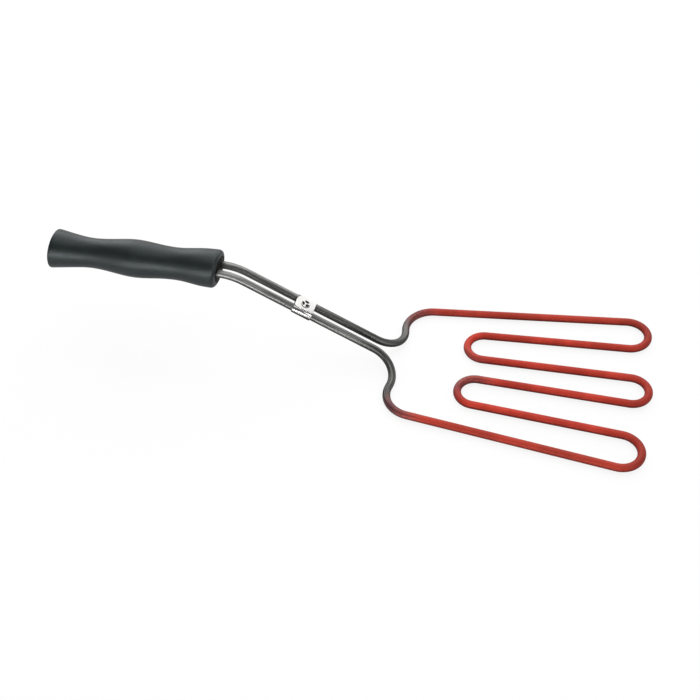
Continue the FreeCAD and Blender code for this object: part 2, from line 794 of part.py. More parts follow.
INNER_WRAP = f"({LEG_RADIUS} + Sizes.fit_gap)"
OUTER_WRAP = f"({INNER_WRAP} + Sizes.clip_sheet)"


def leg_tunnel(name, radius, sign):
    return cylinder(name, radius, "Sizes.clip_length", x="-Sizes.clip_length / 2",
                    y=f"{sign} * {HALF_SPACING}", turn=SIDEWAYS)


def make_clip_wrap():
    """A channel of sheet metal under the legs, rolled up round both of them."""
    wide = f"2 * {HALF_SPACING}"
    solid_pieces = [leg_tunnel("wrap_left", OUTER_WRAP, 1), leg_tunnel("wrap_right", OUTER_WRAP, -1)]
    solid_pieces.append(block("wrap_middle", ("Sizes.clip_length", wide, f"2 * {OUTER_WRAP}"),
                              z=f"-{OUTER_WRAP}"))
    hollow = [leg_tunnel("wrap_bore_left", INNER_WRAP, 1)]
    hollow.append(leg_tunnel("wrap_bore_right", INNER_WRAP, -1))
    hollow.append(block("wrap_space", ("Sizes.clip_length", wide, f"2 * {OUTER_WRAP}"),
                        z=f"-{INNER_WRAP}"))
    hollow.append(block("wrap_top", ("Sizes.clip_length", f"4 * {OUTER_WRAP} + {wide}", OUTER_WRAP),
                        z=INNER_WRAP))
    hollow.append(cylinder("wrap_hole", "Sizes.rivet_diameter / 2 + Sizes.fit_gap",
                           f"2 * {OUTER_WRAP}", z=f"-2 * {OUTER_WRAP}"))
    wrap = cut_all("clip_wrap_cut", fused("wrap_form", solid_pieces), hollow)
    keep(seat_on_shank(wrap), "clip_wrap")


def make_clip_plate():
    """The flat top of the clip, with one rounded corner."""
    body, sketch = new_body("plate_body", "XY_Plane")
    half_length = "Sizes.clip_length / 2"
    half_width = f"({HALF_SPACING} + Sizes.clip_overlap)"
    draw_outline(sketch, [
        (f"-{half_length}", f"-{half_width}"),
        (half_length, f"-{half_width}"),
        (half_length, half_width),
        (f"-{half_length}", half_width),
    ])
    draw_circle(sketch, "0", "0", "Sizes.rivet_diameter / 2 + Sizes.fit_gap")
    plate = pad(body, sketch, "plate_pad", "Sizes.clip_sheet")
    doc.recompute()
    corner_point = Vector(-number(half_length), number(half_width), number("Sizes.clip_sheet / 2"))
    upright = [
        f"Edge{count}" for count, edge in enumerate(plate.Shape.Edges, start=1)
        if edge.CenterOfMass.distanceToPoint(corner_point) < 1e-6
    ]
    rounding = body.newObject("PartDesign::Fillet", "plate_corner")
    rounding.Base = (plate, upright)
    bind(rounding, Radius="Sizes.clip_corner")
    seat_on_shank(body)
    lift_x = f"{INNER_WRAP} * sin(Sizes.shank_angle * 1deg)"
    lift_z = f"{INNER_WRAP} * cos(Sizes.shank_angle * 1deg)"
    move(body, x=f"{CLIP_X} + {lift_x}", z=f"{CLIP_Z} + {lift_z}")
    keep(body, "clip_plate")


def make_clip_rivet():
    """A rivet between the legs, with three clinched pockets in its upper head."""
    head = "Sizes.rivet_head_diameter / 2"
    height = "Sizes.rivet_head_height"
    plate_top = f"({INNER_WRAP} + Sizes.clip_sheet)"
    shank = cylinder("rivet_shank", "Sizes.rivet_diameter / 2", f"{plate_top} + {OUTER_WRAP}",
                     z=f"-{OUTER_WRAP}")
    lower = cylinder("rivet_lower_head", head, height, z=f"-{OUTER_WRAP} - {height}")
    upper = cylinder("rivet_upper_head", head, height, z=plate_top)
    pockets = []
    for count in range(3):
        angle = f"({count} * 120deg + 30deg)"
        pockets.append(cylinder(
            f"rivet_pocket_{count}", "Sizes.rivet_pocket / 2", height,
            x=f"{head} * cos{angle} / 2", y=f"{head} * sin{angle} / 2",
            z=f"{plate_top} + {height} / 3",
        ))
    rivet = cut_all("clip_rivet_cut", fused("rivet_form", [shank, lower, upper]), pockets)
    keep(seat_on_shank(rivet), "clip_rivet")


# --- build, check and write --------------------------------------------------------------

def make_all():
    make_heater_sheath()
    make_magnesia_packing()
    make_heating_coil()
    make_cold_pins()
    make_end_bead("left", 1)
    make_end_bead("right", -1)
    make_front_discs()
    make_earth_tab()
    make_grip_upper()
    make_grip_lower()
    make_grip_screws()
    make_terminal_block()
    make_terminal_sleeves()
    make_terminal_screws()
    make_rear_cap()
    make_cord_grommet()
    make_cord_clamp()
    make_clip_wrap()
    make_clip_plate()
    make_clip_rivet()


def check_document():
    for thing in doc.Objects:
        if "Invalid" in thing.State or "Error" in thing.State:
            raise RuntimeError(f"{thing.Name} failed: {thing.State}")
    for thing in parts:
        shape = thing.Shape
        if shape.isNull() or not shape.isValid() or not shape.Solids:
            raise RuntimeError(f"{thing.Label} has no valid solid")


def write_parts():
    os.makedirs("parts", exist_ok=True)
    for thing in parts:
        thing.Shape.exportStep(f"parts/{thing.Label}.step")
        volume = thing.Shape.Volume / 1000
        print(f"{thing.Label}: {len(thing.Shape.Solids)} solids, {volume:.2f} cm3")


make_all()
doc.recompute()
check_document()
write_parts()
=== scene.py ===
import bpy
import json
import math
from mathutils import Matrix, Vector
from mathutils.kdtree import KDTree


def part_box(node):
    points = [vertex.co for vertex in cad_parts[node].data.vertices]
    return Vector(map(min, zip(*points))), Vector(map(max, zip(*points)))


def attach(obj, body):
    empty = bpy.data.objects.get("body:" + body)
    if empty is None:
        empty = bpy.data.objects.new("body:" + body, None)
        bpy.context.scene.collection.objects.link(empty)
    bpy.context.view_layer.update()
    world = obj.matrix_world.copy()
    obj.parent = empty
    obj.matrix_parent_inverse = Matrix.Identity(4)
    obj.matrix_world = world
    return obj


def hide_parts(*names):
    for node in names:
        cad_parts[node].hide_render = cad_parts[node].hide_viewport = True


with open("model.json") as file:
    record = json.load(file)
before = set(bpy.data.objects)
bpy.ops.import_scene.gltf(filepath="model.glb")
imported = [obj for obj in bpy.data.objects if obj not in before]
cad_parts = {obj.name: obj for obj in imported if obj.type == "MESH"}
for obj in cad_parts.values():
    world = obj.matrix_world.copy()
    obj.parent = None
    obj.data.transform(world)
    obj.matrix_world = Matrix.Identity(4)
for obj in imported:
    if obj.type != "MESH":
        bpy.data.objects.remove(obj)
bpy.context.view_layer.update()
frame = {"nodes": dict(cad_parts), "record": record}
scene = bpy.context.scene
print("frame loaded:", len(frame["nodes"]), "nodes")

# places that the CAD frame gives
gripLow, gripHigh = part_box("grip_lower")[0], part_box("grip_upper")[1]
plateLow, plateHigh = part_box("front_plate")
pinLow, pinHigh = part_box("cold_pin_left")
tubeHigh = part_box("heater_sheath")[1]
bushLow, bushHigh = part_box("cord_grommet")
axisZ = (plateLow.z + plateHigh.z) / 2
frontX, rearX = gripHigh.x, gripLow.x
halfSpacing = (pinLow.y + pinHigh.y) / 2
closeBy = 0.0001              # a spot within this of a place counts as being there


def pickNothing():
    if bpy.context.object and bpy.context.object.mode != "OBJECT":
        bpy.ops.object.mode_set(mode="OBJECT")
    bpy.ops.object.select_all(action="DESELECT")


def pickOnly(obj):
    pickNothing()
    obj.select_set(True)
    bpy.context.view_layer.objects.active = obj


def editPiece(obj, mode="VERT"):
    pickOnly(obj)
    bpy.ops.object.mode_set(mode="EDIT")
    bpy.ops.mesh.select_mode(type=mode)
    bpy.ops.mesh.select_all(action="DESELECT")


def choose(obj, kind, test):
    # selects the vertices, edges or faces whose centre passes the test
    bpy.ops.object.mode_set(mode="OBJECT")
    mesh = obj.data
    for part in getattr(mesh, kind):
        if kind == "vertices":
            spot = part.co
        elif kind == "polygons":
            spot = part.center
        else:
            spot = (mesh.vertices[part.vertices[0]].co + mesh.vertices[part.vertices[1]].co) / 2
        part.select = bool(test(spot, part))
    bpy.ops.object.mode_set(mode="EDIT")


def applyPlace(obj):
    pickOnly(obj)
    bpy.ops.object.transform_apply(location=True, rotation=True, scale=True)


def useModifier(obj, kind, **settings):
    pickOnly(obj)
    modifier = obj.modifiers.new(kind.title(), kind)
    for name, value in settings.items():
        setattr(modifier, name, value)
    bpy.ops.object.modifier_apply(modifier=modifier.name)


def smoothBy(obj, degrees):
    pickOnly(obj)
    bpy.ops.object.shade_smooth_by_angle(angle=math.radians(degrees))


def cleanPiece(obj, gap=0.00001):
    # merges what touches and points the faces outwards
    editPiece(obj)
    bpy.ops.mesh.select_all(action="SELECT")
    bpy.ops.mesh.remove_doubles(threshold=gap)
    bpy.ops.mesh.normals_make_consistent(inside=False)
    bpy.ops.object.mode_set(mode="OBJECT")


def closeEnds(piece):
    # a flat face over each open ring
    editPiece(piece)
    bpy.ops.mesh.select_all(action="SELECT")
    bpy.ops.mesh.fill_holes(sides=0)
    bpy.ops.mesh.normals_make_consistent(inside=False)
    bpy.ops.object.mode_set(mode="OBJECT")


def cutAway(piece, tool):
    # takes the tool's shape out of the piece and removes the tool
    useModifier(piece, "BOOLEAN", object=tool, operation="DIFFERENCE", solver="EXACT")
    bpy.data.objects.remove(tool)


def startRing(name, centre, radius, sides, heading):
    turn = Vector((0, 0, 1)).rotation_difference(Vector(heading)).to_euler()
    bpy.ops.mesh.primitive_circle_add(vertices=sides, radius=radius, location=centre,
                                      rotation=turn)
    ring = bpy.context.object
    ring.name = name
    ring.data.name = name
    applyPlace(ring)
    bpy.ops.object.mode_set(mode="EDIT")
    bpy.ops.mesh.select_mode(type="VERT")
    bpy.ops.mesh.select_all(action="SELECT")
    return ring


def pullRing(step):
    # pulls what is selected along by a step, with new faces behind it
    bpy.ops.mesh.extrude_region_move(TRANSFORM_OT_translate={"value": step})


def turnedPiece(name, outline, sides, axisPoint, heading=(1, 0, 0)):
    # a lathe form: rings pulled along the heading, each scaled to its radius. The outline's
    # points are a place along the heading and a radius
    direction = Vector(heading).normalized()
    base = Vector(axisPoint)
    start, radius = outline[0]
    piece = startRing(name, base + direction * start, radius, sides, direction)
    for along, nextRadius in outline[1:]:
        pullRing(direction * (along - start))
        scale = nextRadius / radius
        bpy.ops.transform.resize(value=(scale, scale, scale),
                                 center_override=base + direction * along)
        start, radius = along, nextRadius
    bpy.ops.object.mode_set(mode="OBJECT")
    cleanPiece(piece)
    return piece


def arcPoints(centre, radius, fromDegrees, toDegrees, steps):
    spots = []
    for count in range(steps + 1):
        angle = math.radians(fromDegrees + (toDegrees - fromDegrees) * count / steps)
        spots.append((centre[0] + radius * math.cos(angle),
                      centre[1] + radius * math.sin(angle)))
    return spots


def newFinish(name):
    finish = bpy.data.materials.new(name)
    finish.use_nodes = True
    tree = finish.node_tree
    shader = tree.nodes["Principled BSDF"]
    return finish, tree, shader


def addNode(tree, kind, values=None, **settings):
    node = tree.nodes.new(kind)
    for name, value in settings.items():
        setattr(node, name, value)
    for name, value in (values or {}).items():
        node.inputs[name].default_value = value
    return node


def wire(tree, source, target):
    tree.links.new(source, target)


def sums(tree, operation, first, second=None):
    # a math node on sockets or plain numbers
    node = addNode(tree, "ShaderNodeMath", operation=operation)
    for socket, value in zip(node.inputs, (first, second)):
        if value is None:
            continue
        if isinstance(value, (int, float)):
            socket.default_value = value
        else:
            wire(tree, value, socket)
    return node.outputs[0]


def ranged(tree, value, low, high, toLow=0.0, toHigh=1.0, kind="SMOOTHSTEP"):
    # a value from low to high, spread from toLow to toHigh
    spread = {"From Min": low, "From Max": high, "To Min": toLow, "To Max": toHigh}
    node = addNode(tree, "ShaderNodeMapRange", values=spread, interpolation_type=kind)
    wire(tree, value, node.inputs["Value"])
    return node.outputs["Result"]


def mixed(tree, share, first, second):
    # the first colour where the share is 0, the second where it is 1
    node = addNode(tree, "ShaderNodeMix", data_type="RGBA")
    wire(tree, share, node.inputs[0])
    for socket, value in ((node.inputs[6], first), (node.inputs[7], second)):
        if isinstance(value, tuple):
            socket.default_value = (*value, 1)
        else:
            wire(tree, value, socket)
    return node.outputs[2]


def noiseOf(tree, vector, scale, detail=3.0, roughness=0.55):
    node = addNode(tree, "ShaderNodeTexNoise",
                   values={"Scale": scale, "Detail": detail, "Roughness": roughness})
    wire(tree, vector, node.inputs["Vector"])
    return node.outputs["Fac"]


def bumpFrom(tree, shader, height, strength, distance):
    node = addNode(tree, "ShaderNodeBump", values={"Strength": strength, "Distance": distance})
    wire(tree, height, node.inputs["Height"])
    wire(tree, node.outputs["Normal"], shader.inputs["Normal"])


def objectSpot(tree):
    return addNode(tree, "ShaderNodeTexCoord").outputs["Object"]


def fromScreen(*tones):
    # red, green and blue as screen values above 10 of 255, in linear light
    return tuple(((tone / 255 + 0.055) / 1.055) ** 2.4 for tone in tones)


def objectFacing(tree):
    # which way the surface looks, along the object's own X, Y and Z
    facing = addNode(tree, "ShaderNodeSeparateXYZ")
    wire(tree, addNode(tree, "ShaderNodeTexCoord").outputs["Normal"], facing.inputs[0])
    return facing.outputs


# each plain finish by its slot: two tones, metal, roughness and its spread, and grain and bump
# in metres
plainLooks = {
    "steatite": {
        "name": "steatiteCeramic", "dark": (0.62, 0.58, 0.48), "light": (0.78, 0.75, 0.66),
        "metal": 0, "rough": 0.62, "spread": 0.08, "grain": 0.0006, "bump": 0.00004},
    "magnesia": {
        "name": "packedMagnesia", "dark": (0.66, 0.65, 0.60), "light": (0.80, 0.79, 0.75),
        "metal": 0, "rough": 0.88, "spread": 0.05, "grain": 0.0004, "bump": 0.00005},
    "resistance_wire": {
        "name": "nickelChromeWire", "dark": (0.18, 0.16, 0.15), "light": (0.32, 0.30, 0.28),
        "metal": 1, "rough": 0.42, "spread": 0.10, "grain": 0.0005},
    "pin_steel": {
        "name": "platedPinSteel", "dark": (0.38, 0.37, 0.35), "light": (0.52, 0.51, 0.49),
        "metal": 1, "rough": 0.30, "spread": 0.08, "grain": 0.0008},
    "flange_steel": {
        "name": "brazedSteel", "dark": (0.22, 0.21, 0.20), "light": (0.42, 0.41, 0.39),
        "metal": 1, "rough": 0.42, "spread": 0.10, "grain": 0.0012, "bump": 0.00002},
    "terminal_brass": {
        "name": "terminalBrass", "dark": (0.48, 0.33, 0.11), "light": (0.66, 0.48, 0.19),
        "metal": 1, "rough": 0.28, "spread": 0.08, "grain": 0.0009},
    "zinc_screw": {
        "name": "zincPlate", "dark": (0.42, 0.43, 0.44), "light": (0.60, 0.61, 0.62),
        "metal": 1, "rough": 0.30, "spread": 0.08, "grain": 0.0006},
    "phenolic": {
        "name": "phenolicMoulding", "dark": (0.0020, 0.0020, 0.0020),
        "light": (0.0045, 0.0044, 0.0042), "metal": 0, "rough": 0.62, "spread": 0.08,
        "grain": 0.0005, "bump": 0.00003, "gloss": 0.15},
    "cap_plastic": {
        "name": "capMoulding", "dark": (0.0045, 0.0052, 0.0055),
        "light": (0.0080, 0.0090, 0.0094), "metal": 0, "rough": 0.50, "spread": 0.06,
        "grain": 0.0004, "bump": 0.00002, "gloss": 0.30},
    "grommet_rubber": {
        "name": "bushRubber", "dark": (0.0090, 0.0090, 0.0090),
        "light": (0.0180, 0.0180, 0.0180), "metal": 0, "rough": 0.70, "spread": 0.08,
        "grain": 0.0005, "bump": 0.00002},
}


def makePlainFinish(look):
    # fine grain, and patches fourteen grains wide
    finish, tree, shader = newFinish(look["name"])
    spot = objectSpot(tree)
    fine = noiseOf(tree, spot, 1 / look["grain"])
    broad = noiseOf(tree, spot, 1 / (look["grain"] * 14), detail=2.0)
    share = sums(tree, "ADD", sums(tree, "MULTIPLY", fine, 0.45),
                 sums(tree, "MULTIPLY", broad, 0.55))
    wire(tree, mixed(tree, ranged(tree, share, 0.35, 0.65), look["dark"], look["light"]),
         shader.inputs["Base Color"])
    rough, spread = look["rough"], look["spread"]
    wire(tree, ranged(tree, share, 0.3, 0.7, rough - spread, rough + spread, "LINEAR"),
         shader.inputs["Roughness"])
    shader.inputs["Metallic"].default_value = look["metal"]
    shader.inputs["Specular IOR Level"].default_value = look.get("gloss", 0.5)
    if "bump" in look:
        bumpFrom(tree, shader, fine, 0.6, look["bump"])
    return finish


gripLook = {
    "dark": (0.0036, 0.0062, 0.0066),
    "light": (0.0054, 0.0088, 0.0092),
    "gloss": 0.54,
    "glossTint": (0.88, 0.97, 1.0, 1),
    "rough": (0.40, 0.48),
    "speckRough": 0.04,       # how much rougher or smoother a speck is
    "grain": 0.0007,          # sizes of the moulded grain, its specks and its patches
    "speck": 0.0011,
    "patch": 0.011,
    "bump": (0.75, 0.00015),  # strength and depth
}


def makeGripFinish():
    # black moulded plastic with a spark-eroded texture
    look = gripLook
    finish, tree, shader = newFinish("gripMoulding")
    spot = objectSpot(tree)
    grain = noiseOf(tree, spot, 1 / look["grain"], detail=3.0, roughness=0.6)
    patch = noiseOf(tree, spot, 1 / look["patch"], detail=3.0)
    speck = noiseOf(tree, spot, 1 / look["speck"], detail=2.0)
    wire(tree, mixed(tree, ranged(tree, patch, 0.3, 0.7), look["dark"], look["light"]),
         shader.inputs["Base Color"])
    rough = ranged(tree, patch, 0.3, 0.7, *look["rough"], "LINEAR")
    uneven = ranged(tree, speck, 0.35, 0.65, look["speckRough"], -look["speckRough"])
    wire(tree, sums(tree, "ADD", rough, uneven), shader.inputs["Roughness"])
    shader.inputs["Specular IOR Level"].default_value = look["gloss"]
    shader.inputs["Specular Tint"].default_value = look["glossTint"]
    bumpFrom(tree, shader, grain, *look["bump"])
    return finish


heat = {
    "scaleFrom": -0.125,      # the bare steel turns to dark scale from here to the neck's corner
    "grey": 0.026,            # reach from the neck's corner: the tint starts, is full, turns red
    "tint": 0.054,
    "red": 0.093,
    "wobble": 0.004,          # how far these borders wander, and over what length
    "wobbleLength": 0.016,
    "nearLag": -0.008,        # the near leg heats later than the far one
    "farLead": 0.006,
    "sideDim": (0.035, 0.085, 0.0, 0.50),     # how far out the rows darken, and how much
    "tipDim": (0.028, 0.006),     # and how far from the front the tips do
    "tipShare": 0.55,
    "hotMetal": 0.12,         # share of the metal's shine that red heat leaves
    "hotRough": 0.10,
    "glow": 0.05,
}
# each tone has a painted shade below, a darker tone: it comes in over a range of facing, from none
# to a share
tubeLook = {
    "bright": ((0.100, 0.100, 0.096), (0.310, 0.308, 0.301)),
    "brightShadeBelow": (0.036, 0.036, 0.035),
    "brightShadeFacing": (0.40, -0.30, 0.0, 0.80),
    "scaled": ((0.034, 0.035, 0.032), (0.170, 0.171, 0.162)),
    "scaledShadeBelow": (0.020, 0.021, 0.019),
    "scaledShadeFacing": (0.45, -0.25, 0.0, 0.85),
    "tint": (fromScreen(94, 60, 66), fromScreen(134, 80, 72)),
    "red": (fromScreen(164, 45, 30), fromScreen(194, 58, 42)),
    "redSide": fromScreen(142, 50, 35),
    "redTip": fromScreen(118, 38, 30),
    "redShadeBelow": fromScreen(98, 28, 20),
    "redShadeFacing": (0.66, -0.40, 0.0, 0.85),
    "redSpeck": fromScreen(214, 84, 66),
    "speckShare": (0.62, 0.80, 0.0, 0.20),
    "streak": 0.0009,         # sizes of the drawn streaks, the specks and the mottling
    "broadStreak": 0.0030,
    "speck": 0.0009,
    "mottle": 0.0300,
    "metal": (0.80, 0.68),    # of the bare steel and of the scale
    "rough": (0.36, 0.48),
    "gloss": 0.2,
    "bump": (0.35, 0.00003),
}


def makeTubeFinish():
    # bare oxidised steel that runs through a heat tint into red heat
    look = tubeLook
    finish, tree, shader = newFinish("heaterSteel")
    spot = objectSpot(tree)
    place = addNode(tree, "ShaderNodeSeparateXYZ")
    wire(tree, spot, place.inputs[0])
    facingUp = objectFacing(tree)["Z"]
    side = sums(tree, "ABSOLUTE", place.outputs["Y"])
    forward = sums(tree, "SUBTRACT", place.outputs["X"], tubePath["neckX"])
    reach = sums(tree, "ADD", forward, side)
    wobble = noiseOf(tree, spot, 1 / heat["wobbleLength"], detail=2.0)
    reach = sums(tree, "ADD", reach, ranged(tree, wobble, 0.3, 0.7, -heat["wobble"], heat["wobble"],
                                            "LINEAR"))
    reach = sums(tree, "ADD", reach, ranged(tree, place.outputs["Y"], -0.01, 0.01, heat["nearLag"],
                                            heat["farLead"]))
    tinted = ranged(tree, reach, heat["grey"], heat["tint"])
    hot = ranged(tree, reach, heat["tint"], heat["red"])

    flow = addNode(tree, "ShaderNodeAttribute", attribute_name="flow").outputs["Vector"]
    streak = noiseOf(tree, flow, 1 / look["streak"], detail=3.0)
    broadStreak = noiseOf(tree, flow, 1 / look["broadStreak"], detail=2.0)
    speck = noiseOf(tree, spot, 1 / look["speck"], detail=3.0)
    mottle = ranged(tree, noiseOf(tree, spot, 1 / look["mottle"], detail=4.0), 0.35, 0.65)

    drawn = ranged(tree, sums(tree, "ADD", sums(tree, "MULTIPLY", streak, 0.5),
                              sums(tree, "MULTIPLY", broadStreak, 0.5)), 0.40, 0.62)
    # painted shade: the bare steel and the scale turn darker where they face down
    bright = mixed(tree, ranged(tree, facingUp, *look["brightShadeFacing"]),
                   mixed(tree, drawn, *look["bright"]), look["brightShadeBelow"])
    scaled = mixed(tree, ranged(tree, facingUp, *look["scaledShadeFacing"]),
                   mixed(tree, drawn, *look["scaled"]), look["scaledShadeBelow"])
    grey = mixed(tree, ranged(tree, forward, heat["scaleFrom"], 0.0), bright, scaled)
    tint = mixed(tree, mottle, *look["tint"])

    red = mixed(tree, mottle, *look["red"])
    tipFrom, tipTo = (tubeHigh.x - depth for depth in heat["tipDim"])
    # the red darkens out at the sides and at the tips, takes painted shade where it faces down, and
    # has lighter specks
    for share, tone in (
            (ranged(tree, side, *heat["sideDim"]), look["redSide"]),
            (ranged(tree, place.outputs["X"], tipFrom, tipTo, 0.0, heat["tipShare"]),
             look["redTip"]),
            (ranged(tree, facingUp, *look["redShadeFacing"]), look["redShadeBelow"]),
            (ranged(tree, speck, *look["speckShare"]), look["redSpeck"])):
        red = mixed(tree, share, red, tone)
    wire(tree, mixed(tree, hot, mixed(tree, tinted, grey, tint), red), shader.inputs["Base Color"])

    coolShare = sums(tree, "SUBTRACT", 1.0, sums(tree, "MULTIPLY", hot, 1 - heat["hotMetal"]))
    metal = ranged(tree, forward, heat["scaleFrom"], 0.0, *look["metal"])
    wire(tree, sums(tree, "MULTIPLY", metal, coolShare), shader.inputs["Metallic"])
    rough = ranged(tree, streak, 0.3, 0.7, *look["rough"], "LINEAR")
    wire(tree, sums(tree, "ADD", rough, sums(tree, "MULTIPLY", hot, heat["hotRough"])),
         shader.inputs["Roughness"])
    shader.inputs["Specular IOR Level"].default_value = look["gloss"]
    wire(tree, red, shader.inputs["Emission Color"])
    wire(tree, sums(tree, "MULTIPLY", hot, heat["glow"]), shader.inputs["Emission Strength"])
    height = sums(tree, "ADD", sums(tree, "MULTIPLY", streak, 0.6),
                  sums(tree, "MULTIPLY", speck, 0.4))
    bumpFrom(tree, shader, height, *look["bump"])
    return finish


clipLook = {
    "bright": ((0.50, 0.496, 0.487), (0.58, 0.576, 0.566)),
    "paintedShadeTones": ((0.010, 0.009, 0.009), (0.028, 0.026, 0.024)),
    "rough": (0.20, 0.30),
    "paintedShadeRough": 0.30,        # what the painted shade adds to the roughness
    "stroke": 0.004,          # length of a drawing line, and how many times finer it is across
    "strokeFineness": 12,
    "cloud": 0.0022,
    "paintedShadeFacing": (0.12, -0.06),  # painted shade comes in over this range of facing, to this share
    "paintedShadeBelow": 0.96,
    "paintedShadeRecess": 0.97,
    "bump": (0.08, 0.00001),
}


def makeClipFinish():
    # bright nickel plate with faint drawing lines along the sheet, with painted shade below and in
    # recesses
    look = clipLook
    finish, tree, shader = newFinish("clipNickel")
    spot = objectSpot(tree)
    lines = addNode(tree, "ShaderNodeMapping", values={"Scale": (1, look["strokeFineness"], 1)})
    wire(tree, spot, lines.inputs["Vector"])
    drawn = noiseOf(tree, lines.outputs["Vector"], 1 / look["stroke"], detail=3.0)
    cloud = noiseOf(tree, spot, 1 / look["cloud"], detail=3.0)
    bright = mixed(tree, ranged(tree, drawn, 0.35, 0.65), *look["bright"])
    # painted shade where the sheet faces down
    below = ranged(tree, objectFacing(tree)["Z"], *look["paintedShadeFacing"])
    # painted shade in the rivet's pockets, from the stored recess
    recess = addNode(tree, "ShaderNodeAttribute", attribute_name="recess").outputs["Fac"]
    paintedShadeShare = sums(tree, "MAXIMUM", sums(tree, "MULTIPLY", below, look["paintedShadeBelow"]),
                sums(tree, "MULTIPLY", recess, look["paintedShadeRecess"]))
    paintedShadeTones = mixed(tree, ranged(tree, cloud, 0.3, 0.7), *look["paintedShadeTones"])
    wire(tree, mixed(tree, paintedShadeShare, bright, paintedShadeTones), shader.inputs["Base Color"])
    rough = ranged(tree, cloud, 0.3, 0.7, *look["rough"], "LINEAR")
    wire(tree, sums(tree, "ADD", rough, sums(tree, "MULTIPLY", paintedShadeShare, look["paintedShadeRough"])),
         shader.inputs["Roughness"])
    shader.inputs["Metallic"].default_value = 1.0
    bumpFrom(tree, shader, drawn, *look["bump"])
    return finish


tubePath = {
    "radius": 0.00325,
    "sides": 28,
    "legDepth": 0.034,
    "legClear": 0.0124,       # from the handle's front to the upper bend's corner
    "bendRadius": 0.0445,
    "shankLength": 0.160,
    "shankAngle": 27.5,
    "neckRadius": 0.0231,
    "lateralRun": 0.0022,
    "lateralAngle": 10.5,
    "shoulderRadius": 0.0235,
    "outerAngle": 6.65,
    "outerRun": 0.1657,
    "outerTipRadius": 0.0165,
    "middleAngle": 3.8,
    "middleRun": 0.1192,
    "baseRadius": 0.01445,
    "innerAngle": 1.25,
    "ringGap": 0.012,         # longest stretch between two rings of a straight run
    "bendStep": 5.0,          # degrees of bend between two rings
    "flowScale": 0.03,        # how short the pattern map is made along the tube
}
tubePath["neckX"] = (frontX + tubePath["legClear"]
                     + tubePath["shankLength"] * math.cos(math.radians(tubePath["shankAngle"])))


def flatHeading(degrees):
    return Vector((math.cos(math.radians(degrees)), math.sin(math.radians(degrees)), 0))


def halfMoves():
    # the left half up to the inner row: a run's length, then the bend that follows it
    size = tubePath
    rise = math.radians(size["shankAngle"])
    down = Vector((math.cos(rise), 0, -math.sin(rise)))
    outward = flatHeading(90 + size["lateralAngle"])
    bendReach = size["bendRadius"] * math.tan(rise / 2)
    neckReach = size["neckRadius"] * math.tan(down.angle(outward) / 2)
    return [
        (size["legDepth"] + size["legClear"] - bendReach, down, size["bendRadius"], None),
        (size["shankLength"] - bendReach - neckReach, outward, size["neckRadius"], None),
        (size["lateralRun"], flatHeading(size["outerAngle"]), size["shoulderRadius"], None),
        (size["outerRun"], flatHeading(180 + size["middleAngle"]), size["outerTipRadius"],
         (0, 0, -1)),
        (size["middleRun"], flatHeading(size["innerAngle"]), size["baseRadius"], (0, 0, 1)),
    ]


def turnedBack(heading):
    # the same stretch on the right half, walked towards the handle
    return Vector((-heading.x, heading.y, -heading.z))


class TubeWalk:
    # where the open end of the tube is, and every ring laid so far
    def __init__(self, spot, heading):
        self.spot = spot.copy()
        self.heading = heading.copy()
        self.up = Vector((0, 0, 1))
        self.length = 0.0
        self.rings = []
        self.note()

    def note(self):
        self.rings.append((self.spot.copy(), self.heading.copy(), self.up.copy(), self.length))

    def run(self, length):
        steps = max(1, math.ceil(length / tubePath["ringGap"]))
        for count in range(steps):
            step = self.heading * (length / steps)
            pullRing(step)
            self.spot = self.spot + step
            self.length += length / steps
            self.note()

    def bend(self, heading, radius, axis):
        axis = Vector(axis) if axis else self.heading.cross(heading).normalized()
        turn = self.heading.angle(heading)
        if self.heading.cross(heading).dot(axis) < 0:
            turn = 2 * math.pi - turn
        centre = self.spot + axis.cross(self.heading) * radius
        steps = max(3, math.ceil(math.degrees(turn) / tubePath["bendStep"]))
        # the operator turns left-handed
        bpy.ops.mesh.spin(steps=steps, angle=-turn, center=centre, axis=axis)
        step = Matrix.Rotation(turn / steps, 3, axis)
        for count in range(steps):
            self.spot = centre + step @ (self.spot - centre)
            self.heading = step @ self.heading
            self.up = step @ self.up
            self.length += radius * turn / steps
            self.note()


def storeFlow(tube, rings):
    # a pattern map that runs along the tube: round it in X and Y, and along it in Z, shortened
    tree = KDTree(len(rings))
    for index, ring in enumerate(rings):
        tree.insert(ring[0], index)
    tree.balance()
    flow = tube.data.attributes.new("flow", "FLOAT_VECTOR", "POINT")
    for vertex in tube.data.vertices:
        centre, heading, up, length = rings[tree.find(vertex.co)[1]]
        arm = vertex.co - centre
        flow.data[vertex.index].vector = (arm.dot(up), arm.dot(heading.cross(up)),
                                          length * tubePath["flowScale"])


def makeHeaterTube():
    size = tubePath
    ahead = Vector((1, 0, 0))
    start = Vector((frontX - size["legDepth"], halfSpacing, axisZ))
    tube = startRing("heaterTube", start, size["radius"], size["sides"], ahead)
    walk = TubeWalk(start, ahead)
    moves = halfMoves()
    for length, heading, radius, axis in moves:
        walk.run(length)
        walk.bend(heading, radius, axis)
    # the middle tip touches both inner rows and reaches the front of the fan
    splay = math.radians(size["innerAngle"])
    front = tubeHigh.x - size["radius"]
    gap = (front - walk.spot.x) * math.sin(splay) + walk.spot.y * math.cos(splay)
    tipRadius = gap / (1 + math.sin(splay))
    innerRun = (front - tipRadius - tipRadius * math.sin(splay) - walk.spot.x) / math.cos(splay)
    walk.run(innerRun)
    walk.bend(turnedBack(walk.heading), tipRadius, (0, 0, -1))
    walk.run(innerRun)
    headings = [ahead] + [move[1] for move in moves[:-1]]
    for (length, _, radius, axis), heading in zip(reversed(moves), reversed(headings)):
        walk.bend(turnedBack(heading), radius, axis)
        walk.run(length)
    bpy.ops.object.mode_set(mode="OBJECT")
    cleanPiece(tube)
    closeEnds(tube)
    storeFlow(tube, walk.rings)
    smoothBy(tube, 60)
    return tube


